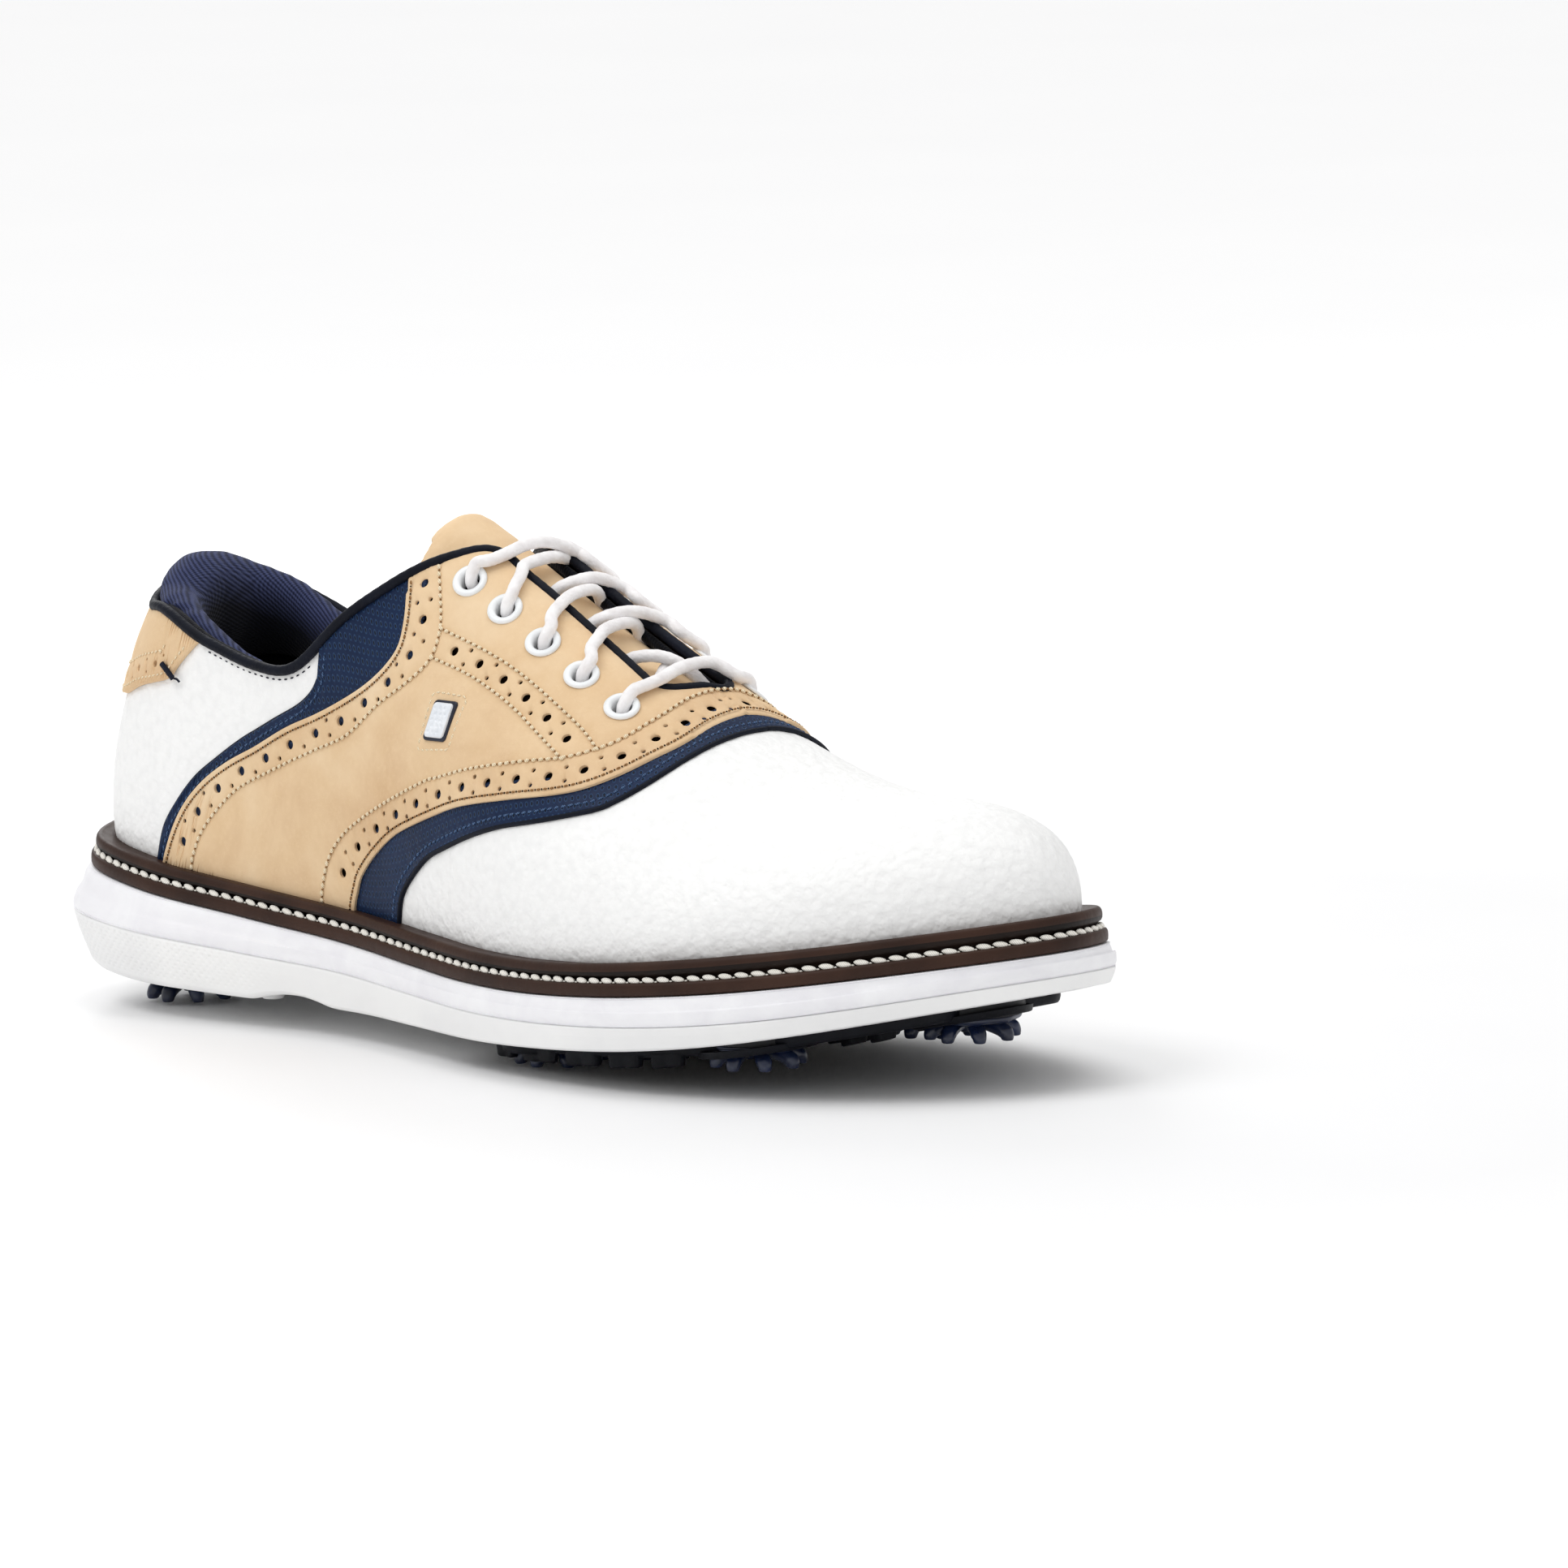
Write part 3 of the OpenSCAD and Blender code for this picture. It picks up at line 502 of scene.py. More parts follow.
def inside(points, loops):
    """which plan points lie inside the loops, by the even-odd rule"""
    odd = np.zeros(len(points), bool)
    for loop in loops:
        x0, y0 = loop[:, 0], loop[:, 1]
        x1, y1 = np.roll(x0, -1), np.roll(y0, -1)
        rise = np.where(y1 == y0, 1e-12, y1 - y0)
        for k in range(0, len(points), 4000):       # in blocks, to save memory
            x = points[k:k + 4000, 0][:, None]
            y = points[k:k + 4000, 1][:, None]
            hit = ((y0 > y) != (y1 > y)) & (x < (x1 - x0) * (y - y0) / rise + x0)
            odd[k:k + 4000] ^= (hit.sum(1) % 2).astype(bool)
    return odd


def tri_region(loops, extra, pitch):
    """triangles of the region bounded by loops; extra points are kept, the rest is filled on
    a lattice. Returns points, triangles, and each point's index in loops + extra, or -1"""
    fixed = np.concatenate(list(loops) + ([extra] if len(extra) else []))
    tree = kd_tree(fixed)
    low, high = loops[0].min(0), loops[0].max(0)
    lattice = []
    for j, y in enumerate(np.arange(low[1], high[1], pitch * .866)):
        xs = np.arange(low[0] + (pitch / 2 if j % 2 else 0), high[0], pitch)
        lattice.append(np.stack([xs, np.full(len(xs), y)], 1))
    lattice = np.concatenate(lattice)
    lattice = lattice[inside(lattice, loops)]
    lattice = lattice[distances(tree, lattice) > .62 * pitch]
    points = np.concatenate([fixed, lattice])
    edges = []
    for loop in loops:
        k, n = len(edges), len(loop)
        edges += [(k + i, k + (i + 1) % n) for i in range(n)]
    found, _, tris, origin, _, _ = delaunay_2d_cdt([Vector(q) for q in points.tolist()],
                                                   edges, [], 0, 1e-7)
    verts = np.array([(q[0], q[1]) for q in found])
    tris = np.array([list(t) for t in tris])
    source = np.array([min(o) if len(o) else -1 for o in origin])
    source = np.where(source >= len(fixed), -1, source)
    tris = tris[inside(verts[tris].mean(1), loops)]
    used = np.unique(tris)
    renumber = -np.ones(len(verts), int)
    renumber[used] = np.arange(len(used))
    return verts[used], renumber[tris], source[used]


def plan_cap(verts, faces, rim, height, pitch, holes=(), flip=False):
    """cap the rim, given by indices, with a surface height(x, y) that has plan holes.
    Adds to faces; returns the longer verts and the index lists of the holes' rims"""
    points, tris, source = tri_region([verts[rim][:, :2]] + list(holes), np.zeros((0, 2)), pitch)
    start = len(verts)
    index = np.array([rim[s] if 0 <= s < len(rim) else start + i for i, s in enumerate(source)])
    faces += [[int(index[q]) for q in (t[::-1] if flip else t)] for t in tris]
    rims = []
    first = len(rim)
    for hole in holes:
        rims.append([int(index[np.flatnonzero(source == first + k)[0]])
                     for k in range(len(hole))])
        first += len(hole)
    new = np.column_stack([points, height(points[:, 0], points[:, 1])])
    return np.concatenate([verts, new]), rims


def compact(verts, faces):
    """drop the points no face uses"""
    used = sorted({q for f in faces for q in f})
    renumber = {q: i for i, q in enumerate(used)}
    return verts[used], [[renumber[q] for q in f] for f in faces]


def close_shell(outer, inner, tris):
    """closed solid from an outer and an inner copy of the triangles"""
    n = len(outer)
    edges = {}
    for a, b, c in tris.tolist():
        for edge in ((a, b), (b, c), (c, a)):
            edges[edge] = True
    walls = [[v, u, u + n, v + n] for (u, v) in edges if (v, u) not in edges]
    return np.concatenate([outer, inner]), tris.tolist() + (tris[:, ::-1] + n).tolist() + walls


def panel(name, outer, holes, extra, pitch, mat, heights, relief, edge=(.3, .5),
          rings=(.22, .5), rep=None):
    """leather panel on the last. outer, holes: closed curves; extra: curves whose points must
    be vertices; heights: of the outer and inner face; edge: drop and width of its rounding;
    relief(place, rise, points, distance to the edge) is added to the outer face"""
    drop, width = edge
    x, y = flat(outer).T
    if (x * np.roll(y, -1) - np.roll(x, -1) * y).sum() < 0:
        outer = outer[::-1]
    extra = list(extra) + [inset(outer, d, True) for d in rings]
    if width:
        extra += [c.mean(0) + (c - c.mean(0)) * 1.35 for c in holes]
    extra = np.concatenate(extra) if extra else np.zeros((0, 2))
    loops = [flat(c) for c in [outer] + list(holes)]
    fixed = sum(len(loop) for loop in loops)
    # drop extra points that fall outside or too near one another
    extra2 = flat(extra)
    keep = inside(extra2, loops)
    tree = kd_tree(np.concatenate(loops + [extra2]))
    for i in np.flatnonzero(keep):
        near = tree.find_range(kd_point(extra2[i]), .16)
        if any(j < fixed or (j - fixed < i and keep[j - fixed]) for _, j, _ in near):
            keep[i] = False
    spots = np.concatenate([outer] + list(holes) + [extra[keep]])
    verts, tris, source = tri_region(loops, extra2[keep], pitch)
    place, rise = unflat(verts)
    known = source >= 0
    place[known], rise[known] = spots[source[known]].T
    rise = np.minimum(rise, 1.0)
    base = surface(place, rise)
    rim = distances(tree_on([outer] + list(holes)), base)
    top = np.full(len(place), float(heights[0])) + relief(place, rise, base, rim)
    if width:
        top = top - drop * np.clip(1 - rim / width, 0, 1) ** 2
    under = np.minimum(heights[1], top - .2)
    shell, faces = close_shell(surface(place, rise, top), surface(place, rise, under), tris)
    add_mesh(name, shell, faces, mat, uv=np.concatenate([verts, verts]) * .001, rep=rep, sharp=42)


def tube(line, radius, n=12, closed=False, up=None, ripple=None):
    """round cord along line; ripple(i, k) adds to the radius at ring i, side k"""
    line = np.asarray(line, float)
    m = len(line)
    tangent = np.roll(line, -1, 0) - np.roll(line, 1, 0) if closed else np.gradient(line, axis=0)
    tangent = unit(tangent, 1e-12)
    if up is None:
        first = [unit(np.cross(tangent[0], [0, 0, 1.]), 1e-12)]
        for i in range(1, m):
            first.append(unit(first[-1] - tangent[i] * (first[-1] @ tangent[i]), 1e-12))
        first = np.array(first)
    else:
        first = unit(up - tangent * (up * tangent).sum(1, keepdims=True), 1e-12)
    second = np.cross(tangent, first)
    radii = np.broadcast_to(np.reshape(radius, (-1, 1)), (m, n))
    if ripple is not None:
        radii = radii + ripple(np.arange(m)[:, None], np.arange(n)[None, :])
    angle = turn(n)[None, :, None]
    verts = line[:, None, :] + radii[..., None] * (
        np.cos(angle) * first[:, None, :] + np.sin(angle) * second[:, None, :])
    return verts.reshape(-1, 3), grid_faces(m, n, wrap=True) if closed else loft_faces(m, n)


def bead(parts, centre, axis, normal, length, width, height, slot=0, sides=8, rings=5):
    """one stitch: a rounded bead along axis"""
    axis = unit(axis)
    side = unit(np.cross(normal, axis))
    verts = [centre - axis * length / 2]
    for i in range(1, rings):
        s = i / rings
        swell = math.sin(math.pi * s) ** .55
        for angle in turn(sides):
            verts.append(centre + axis * length * (s - .5)
                         + side * width / 2 * swell * math.cos(angle)
                         + normal * height / 2 * swell * math.sin(angle))
    verts.append(centre + axis * length / 2)
    faces = []
    last = 1 + (rings - 2) * sides
    for k in range(sides):
        after = (k + 1) % sides
        faces.append([0, 1 + after, 1 + k])
        for q in range(1, last, sides):
            faces.append([q + k, q + after, q + sides + after, q + sides + k])
        faces.append([last + k, last + after, last + sides])
    parts.add(verts, faces, slot)


def stitches(parts, curve, lift, pitch, length, width, height, slot=0, slant=0.0, hole=None):
    """row of stitches; hole is the material slot of the dark beads between them, painted shade of
    the needle holes
    """
    curve = even(curve, pitch)
    base, _, _, out, _ = metric(curve[:, 0], curve[:, 1])
    points = curve3(curve, lift)
    tangents = np.gradient(base, axis=0)
    for i in range(len(curve)):
        axis = unit(tangents[i])
        axis = axis * math.cos(slant) + np.cross(out[i], axis) * math.sin(slant)
        bead(parts, points[i], axis, out[i], length, width, height, slot)
        # dark bead between two stitches: painted shade of a needle hole
        if hole is not None and i + 1 < len(curve):
            bead(parts, (points[i] + points[i + 1]) / 2, axis, out[i], .46, .56, height * .80,
                 hole, sides=6, rings=4)


# ------------------------------------------------------------------ materials
def srgb(color):
    """linear RGBA of an sRGB colour given as 0-255"""
    channels = [c / 255 for c in color]
    return tuple(c / 12.92 if c <= .04045 else ((c + .055) / 1.055) ** 2.4
                 for c in channels) + (1,)


class Shader:
    """material with short calls for its nodes; inputs take a value or a socket"""
    def __init__(self, name):
        self.material = bpy.data.materials.new(name)
        self.material.use_nodes = True
        self.tree = self.material.node_tree
        self.surface = self.tree.nodes["Principled BSDF"]
        self.object = self.node("ShaderNodeTexCoord").outputs["Object"]
        MATS[name] = self.material

    def feed(self, socket, value):
        if isinstance(value, bpy.types.NodeSocket):
            self.tree.links.new(value, socket)
        else:
            socket.default_value = value

    def node(self, kind, inputs=None, **settings):
        node = self.tree.nodes.new(kind)
        for key, value in settings.items():
            setattr(node, key, value)
        for key, value in (inputs or {}).items():
            self.feed(node.inputs[key], value)
        return node

    def noise(self, scale, detail=3, rough=.5, distortion=0):
        return self.node("ShaderNodeTexNoise", {
            "Scale": scale, "Detail": detail, "Roughness": rough, "Distortion": distortion,
            "Vector": self.object}).outputs["Fac"]

    def voronoi(self, scale, feature="F1"):
        return self.node("ShaderNodeTexVoronoi", {"Scale": scale, "Vector": self.object},
                         feature=feature).outputs["Distance"]

    def wave(self, direction, vector, **inputs):
        return self.node("ShaderNodeTexWave", {
            "Vector": vector, **{k.replace("_", " "): v for k, v in inputs.items()}},
            wave_type="BANDS", bands_direction=direction).outputs["Fac"]

    def attribute(self, name):
        return self.node("ShaderNodeAttribute", attribute_name=name).outputs["Fac"]

    def math(self, operation, *values):
        return self.node("ShaderNodeMath", dict(enumerate(values)),
                         operation=operation).outputs[0]

    def add(self, a, b):
        return self.math("ADD", a, b)

    def times(self, a, b):
        return self.math("MULTIPLY", a, b)

    def remap(self, value, source=(0, 1), target=(0, 1)):
        return self.node("ShaderNodeMapRange",
                         dict(enumerate((value, *source, *target)))).outputs[0]

    def mix(self, factor, a, b):
        """a and b are sockets or sRGB colours as 0-255"""
        a, b = [srgb(c) if isinstance(c, tuple) else c for c in (a, b)]
        return self.node("ShaderNodeMix", {0: factor, 6: a, 7: b}, data_type="RGBA").outputs[2]

    def finish(self, color, rough, height=None, distance=0, strength=0, **values):
        """surface inputs; height, distance (m) and strength are those of the bump"""
        if height is not None:
            bump = self.node("ShaderNodeBump", {"Strength": strength, "Distance": distance,
                                                "Height": height})
            values["Normal"] = bump.outputs["Normal"]
        values.update(Base_Color=color, Roughness=rough)
        for key, value in values.items():
            self.feed(self.surface.inputs[key.replace("_", " ")], value)


def white_leather():
    """pebbled leather"""
    m = Shader("white_leather")
    pebble = m.voronoi(scale=520, feature="SMOOTH_F1")
    grain = m.voronoi(scale=1150, feature="SMOOTH_F1")
    mottle = m.noise(scale=26, detail=4)
    wrinkle = m.noise(scale=120, detail=5, rough=.62, distortion=.6)
    height = m.add(m.times(pebble, 1.0), m.times(grain, .35))
    height = m.add(height, m.times(wrinkle, 1.1))
    pore = m.remap(pebble, source=(.35, .75))
    color = m.mix(m.times(pore, .16), (249, 249, 248), (212, 212, 212))
    color = m.mix(m.remap(mottle, source=(.45, .8), target=(0, .22)), color, (236, 236, 236))
    m.finish(color, m.remap(grain, target=(.40, .56)), height, distance=.00040, strength=.75,
             Specular_IOR_Level=.38)


def tan_nubuck():
    """smooth leather with a soft nap"""
    m = Shader("tan_nubuck")
    clouds = m.noise(scale=22, detail=5, rough=.6, distortion=.4)
    mottle = m.noise(scale=95, detail=5, rough=.65)
    fine = m.noise(scale=2600, detail=2, rough=.6)
    nap = m.noise(scale=900, rough=.6)
    ramp = m.node("ShaderNodeValToRGB")
    stops = [(.28, (210, 174, 134)), (.5, (229, 199, 160)), (.72, (241, 217, 183))]
    elements = ramp.color_ramp.elements
    elements.new(.5)
    for element, (position, tone) in zip(elements, stops):
        element.position = position
        element.color = srgb(tone)
    m.feed(ramp.inputs["Fac"], clouds)
    color = m.mix(m.remap(mottle, source=(.42, .75), target=(0, .35)), ramp.outputs["Color"],
                  (216, 181, 134))
    color = m.mix(m.remap(nap, source=(.5, .8), target=(0, .22)), color, (243, 219, 180))
    m.finish(color, .86, m.add(m.times(fine, .5), nap), distance=.00012, strength=.5,
             Specular_IOR_Level=.22, Sheen_Weight=.22, Sheen_Roughness=.5,
             Sheen_Tint=srgb((250, 232, 205)))


def navy_perforated():
    """leather with a grid of pin perforations, every other row moved by half a pitch; each hole has
    painted shade and its rim a painted highlight
    """
    m = Shader("navy_perforated")
    uv = m.node("ShaderNodeUVMap", uv_map="Surface").outputs["UV"]
    grid = m.node("ShaderNodeMapping", {"Scale": (560, 560, 1), "Rotation": (0, 0, .42),
                                        "Vector": uv})
    u, v = m.node("ShaderNodeSeparateXYZ", {0: grid.outputs["Vector"]}).outputs[:2]
    row = m.math("FLOOR", v)
    u = m.add(u, m.times(row, .5))
    du = m.math("SUBTRACT", m.math("FRACT", u), .5)
    dv = m.math("SUBTRACT", m.math("FRACT", v), .5)
    radius = m.math("SQRT", m.add(m.times(du, du), m.times(dv, dv)))
    hole = m.remap(radius, source=(.12, .24), target=(1, 0))
    rim = m.times(m.remap(radius, source=(.17, .25)),
                  m.remap(radius, source=(.25, .34), target=(1, 0)))
    grain = m.voronoi(scale=900, feature="SMOOTH_F1")
    mottle = m.noise(scale=60, detail=4)
    color = m.mix(m.remap(mottle, source=(.35, .75), target=(0, .6)), (9, 29, 60), (15, 42, 80))
    # painted highlight: a lighter ring round each pin hole
    color = m.mix(m.times(rim, .35), color, (72, 112, 158))
    # painted shade: each pin hole goes near black
    color = m.mix(m.times(hole, .8), color, (7, 14, 28))
    m.finish(color, m.remap(grain, target=(.42, .56)),
             m.math("SUBTRACT", m.times(grain, .35), hole),
             distance=.00025, strength=.8, Specular_IOR_Level=.2)


def grained(name, colors, grain, rough, bump=None, blotch=None, span=(.3, .7), **values):
    """one noise for the relief. The two colours mix over span of the blotch noise, or of the
    grain. grain, blotch: (scale, detail, roughness); rough: a value or a range over the
    grain; bump: (distance in m, strength)"""
    m = Shader(name)
    height = m.noise(*grain)
    tone = m.noise(*blotch) if blotch else height
    color = m.mix(m.remap(tone, source=span), *colors)
    if isinstance(rough, tuple):
        rough = m.remap(height, target=rough)
    m.finish(color, rough, height if bump else None, *(bump or ()), **values)


def navy_piping():
    m = Shader("navy_piping")
    grain = m.noise(scale=1100)
    blotch = m.noise(scale=90)
    color = m.mix(m.remap(blotch, source=(.3, .7)), (7, 10, 20), (15, 20, 34))
    m.finish(color, m.remap(grain, target=(.45, .68)), m.add(grain, m.times(blotch, .6)),
             distance=.0003, strength=.5, Specular_IOR_Level=.14)


def knit(name, dark, light, scale):
    """diagonal twill with painted shade: it darkens towards near black with the depth attribute"""
    m = Shader(name)
    turned = m.node("ShaderNodeMapping", {"Rotation": (.5, .3, .7), "Vector": m.object})
    twill = m.wave("DIAGONAL", turned.outputs["Vector"], Scale=scale / 2, Distortion=.8,
                   Detail=1, Detail_Scale=3)
    ribs = m.wave("X", m.object, Scale=scale, Distortion=.5)
    fuzz = m.noise(scale=1500, detail=2)
    blotch = m.noise(scale=45)
    height = m.add(m.times(twill, .8), m.times(ribs, .35))
    height = m.add(height, m.times(fuzz, .3))
    color = m.mix(m.remap(height, source=(.3, 1.2)), dark, light)
    color = m.mix(m.remap(blotch, source=(.4, .7), target=(0, .3)), color, dark)
    # painted shade: deeper below the collar's crest the knit goes near black, as the inside of the
    # shoe lies in shade
    depth = m.remap(m.attribute("depth"), source=(5.0, 13.0), target=(0, .93))
    m.finish(m.mix(depth, color, (5, 6, 11)), .9, height, distance=.0003, strength=.6,
             Specular_IOR_Level=.1, Sheen_Weight=.12)


def thread(name, light, dark):
    m = Shader(name)
    fuzz = m.noise(scale=1500, rough=.6)
    blotch = m.noise(scale=160, detail=2)
    twist = m.wave("DIAGONAL", m.object, Scale=900, Distortion=1)
    height = m.add(twist, m.times(fuzz, .5))
    color = m.mix(m.remap(height, source=(.2, 1.1)), dark, light)
    color = m.mix(m.remap(blotch, source=(.4, .7), target=(0, .3)), color, dark)
    m.finish(color, .75, height, distance=.0001, strength=.6, Specular_IOR_Level=.25)


def lace_white():
    """soft woven cotton"""
    m = Shader("lace_white")
    fuzz = m.noise(scale=1900, rough=.7)
    blotch = m.noise(scale=300)
    height = m.add(fuzz, blotch)
    color = m.mix(m.remap(blotch, source=(.35, .7)), (253, 251, 251), (238, 234, 234))
    m.finish(color, .88, height, distance=.00022, strength=.7, Specular_IOR_Level=.18,
             Sheen_Weight=.35)


def eyelet_white():
    """enamelled metal"""
    m = Shader("eyelet_white")
    blotch = m.noise(scale=150)
    color = m.mix(m.remap(blotch, source=(.4, .8), target=(0, .6)),
                  (240, 242, 243), (222, 226, 228))
    m.finish(color, m.remap(blotch, target=(.2, .34)), m.noise(scale=700, detail=2),
             distance=.00006, strength=.3, Specular_IOR_Level=.55)


def midsole_foam():
    m = Shader("midsole_foam")
    grain = m.noise(scale=300, detail=4, rough=.6)
    clouds = m.noise(scale=60, detail=4, rough=.6, distortion=.8)
    pores = m.voronoi(scale=1400)
    color = m.mix(m.remap(clouds, source=(.35, .7)), (248, 248, 250), (239, 238, 242))
    m.finish(color, m.remap(grain, target=(.42, .56)),
             m.add(m.times(grain, .6), m.add(clouds, m.times(pores, .15))),
             distance=.0003, strength=.45, Specular_IOR_Level=.4)


def outsole_white():
    """white rubber that turns dark where the tread attribute is above zero"""
    m = Shader("outsole_white")
    grain = m.noise(scale=420, detail=4, rough=.6)
    clouds = m.noise(scale=35, detail=4)
    color = m.mix(m.remap(clouds, source=(.35, .7)), (249, 249, 248), (240, 240, 240))
    tread = m.remap(m.attribute("tread"), source=(.02, .4))
    color = m.mix(tread, color, (10, 11, 18))
    m.finish(color, m.remap(grain, target=(.40, .54)), grain, distance=.0002, strength=.4,
             Specular_IOR_Level=.4)


def foam():
    m = Shader("foam")
    cells = m.voronoi(scale=1500)
    color = m.mix(m.remap(cells, source=(.1, .6)), (222, 206, 150), (238, 226, 178))
    m.finish(color, .9, cells, distance=.0002, strength=.6)


def make_materials():
    white_leather()
    tan_nubuck()
    navy_perforated()
    grained("navy_edge", [(7, 11, 22), (14, 20, 35)], grain=(700, 3), rough=(.42, .62),
            bump=(.0002, .4), Specular_IOR_Level=.15)
    navy_piping()
    knit("collar_knit", dark=(26, 31, 56), light=(72, 80, 118), scale=900)
    knit("lining_textile", dark=(5, 6, 11), light=(13, 15, 24), scale=500)
    knit("sockliner_textile", dark=(18, 24, 44), light=(44, 52, 80), scale=420)
    grained("welt_brown", [(46, 29, 22), (64, 42, 32)], grain=(420, 4, .6), blotch=(60, 4),
            rough=(.40, .58), bump=(.00025, .4), Specular_IOR_Level=.18)
    # near-black welt brown for the groove rows: painted shade
    grained("welt_groove_shade", [(20, 14, 12), (36, 25, 20)], grain=(420, 4, .6), blotch=(60, 4),
            rough=(.42, .6), bump=(.00025, .4), Specular_IOR_Level=.16)
    thread("white_thread", light=(252, 250, 244), dark=(222, 216, 204))
    thread("cream_thread", light=(250, 238, 212), dark=(218, 194, 152))
    thread("tan_thread", light=(170, 128, 82), dark=(112, 78, 44))
    thread("navy_thread", light=(26, 32, 54), dark=(10, 13, 24))
    thread("blue_thread", light=(92, 118, 156), dark=(38, 58, 92))
    lace_white()
    eyelet_white()
    midsole_foam()
    outsole_white()
    grained("tread_navy", [(7, 8, 13), (15, 17, 26)], grain=(500, 4, .6), blotch=(50, 3),
            span=(.35, .7), rough=(.4, .6), bump=(.00025, .4), Specular_IOR_Level=.15)
    grained("cleat_tpu", [(13, 21, 44), (26, 40, 74)], grain=(350, 3), blotch=(90, 3),
            span=(.35, .7), rough=(.22, .4), bump=(.00015, .3), Specular_IOR_Level=.5,
            Coat_Weight=.2)
    grained("receptacle_nylon", [(28, 30, 36), (44, 46, 54)], grain=(600, 3), rough=.5,
            bump=(.0001, .4))
    grained("board", [(176, 150, 112), (205, 180, 142)], grain=(420, 5, .7), rough=.85,
            bump=(.0002, .5))
    grained("shank_steel", [(150, 152, 156), (176, 178, 182)], grain=(900, 3),
            rough=(.25, .45), Metallic=1.0)
    grained("stiffener", [(196, 186, 166), (222, 214, 196)], grain=(700, 4, .7), rough=.8,
            bump=(.0002, .5))
    # dark brown felt behind the saddle. It is made extra dark as painted shade seen through the
    # brogue holes, and it also colours the painted needle-hole shade beads
    grained("backing_felt", [(20, 12, 8), (40, 26, 17)], grain=(900, 4, .7), rough=.95,
            bump=(.0003, .6), Specular_IOR_Level=.05)
    foam()
    grained("emblem_white", [(238, 241, 245), (222, 227, 233)], grain=(300, 3),
            rough=(.25, .38), bump=(.00005, .3))
    grained("emblem_navy", [(16, 22, 38), (26, 34, 54)], grain=(300, 3), rough=(.3, .45),
            bump=(.00008, .3))


# material of each CAD piece; the cleats, which are not listed, get CLEAT_MAT
CLEAT_MAT = "cleat_tpu"
NODE_MAT = {
    "outsole": "outsole_white", "midsole": "midsole_foam", "traction_plate": "tread_navy",
    "cleat_receptacles": "receptacle_nylon", "welt": "welt_brown",
    "welt_stitching": "white_thread", "insole_board": "board", "shank": "shank_steel",
    "sockliner": "sockliner_textile", "lining": "lining_textile", "toe_puff": "stiffener",
    "heel_counter": "stiffener", "eyestay_reinforcement": "stiffener",
    "vamp": "white_leather", "back_quarter": "white_leather",
    "rear_underlay_lateral": "navy_perforated", "rear_underlay_medial": "navy_perforated",
    "saddle_backing": "backing_felt", "front_underlay": "navy_perforated",
    "saddle": "tan_nubuck", "heel_tab": "tan_nubuck", "topline_piping": "navy_piping",
    "collar_padding": "collar_knit", "tongue": "tan_nubuck", "tongue_foam": "foam",
    "tongue_lining": "lining_textile", "eyelets": "eyelet_white", "lace": "lace_white",
    "side_emblem": "emblem_white", "bartacks": "navy_thread"}

make_materials()
for node_name, node_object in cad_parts.items():
    node_object.data.materials.clear()
    node_object.data.materials.append(MATS[NODE_MAT.get(node_name, CLEAT_MAT)])

# ------------------------------------------------------------------ design curves, lateral side
SADDLE_REAR = spline([
    (3.04, -.02), (3.06, .007), (3.18, .069), (3.32, .115), (3.50, .149), (3.75, .18),
    (4.04, .21), (4.34, .245), (4.63, .28), (4.87, .32), (5.10, .372), (5.28, .427),
    (5.38, .478), (5.39, .529), (5.36, .574), (5.31, .62)])
NAVY_REAR = spline([
    (2.93, -.02), (2.95, .010), (3.04, .072), (3.21, .12), (3.40, .157), (3.63, .185),
    (3.89, .217), (4.14, .245), (4.39, .275), (4.53, .301), (4.60, .327), (4.61, .35),
    (4.61, .40)])
SADDLE_FRONT = spline([
    (5.00, -.02), (5.01, .004), (5.06, .035), (5.12, .063), (5.30, .107), (5.58, .158),
    (6.04, .217), (6.35, .26), (6.96, .34), (7.46, .418), (7.76, .489), (7.98, .581),
    (8.12, .691), (8.17, .774), (8.15, .88), (8.13, 1.0)])
NAVY_FRONT = spline([
    (5.54, -.02), (5.55, .005), (5.60, .045), (5.73, .083), (6.00, .139), (6.30, .182),
    (6.86, .265), (7.41, .346), (7.87, .435), (8.04, .492), (8.17, .566), (8.25, .649),
    (8.29, .737), (8.31, .827), (8.32, .916), (8.33, 1.0)])
# inner rows of stitching on the saddle
SEAM_REAR = spline([
    (5.50, .735), (5.54, .702), (5.66, .64), (5.76, .577), (5.75, .507), (5.57, .436),
    (5.26, .354), (4.96, .275), (4.64, .228), (4.28, .187), (3.89, .147), (3.65, .105),
    (3.50, .066), (3.41, .020), (3.40, .004)])
SEAM_UPPER = spline([(5.77, .578), (6.03, .590), (6.29, .603), (6.55, .614), (6.84, .617),
                     (7.16, .611), (7.42, .601), (7.62, .582)])
SEAM_LOWER = spline([(5.76, .510), (6.13, .526), (6.43, .534), (6.74, .535), (7.01, .525),
                     (7.38, .506)])
SEAM_FRONT = spline([
    (7.82, .999), (7.82, .94), (7.82, .885), (7.83, .781), (7.76, .660), (7.62, .582),
    (7.40, .513), (7.10, .455), (6.70, .388), (6.13, .302), (5.99, .285), (5.49, .211),
    (5.11, .151), (4.90, .110), (4.76, .066), (4.68, .010), (4.68, .002)])
TAB_EDGE = spline([(0, .374), (1, .374), (2, .369), (2.42, .361), (2.79, .336), (2.98, .327),
                   (3.08, .327), (3.18, .338), (3.38, .353), (3.5, .358)], 8)
THROAT = [(7.6, .868), (7.66, .905), (7.70, .95), (7.71, .975)]
THROAT_TIP = np.array([[7.72, 1.0]])


def topline(place, side):
    return hermite(TOP_LATERAL if side == LATERAL else TOP_MEDIAL, place)


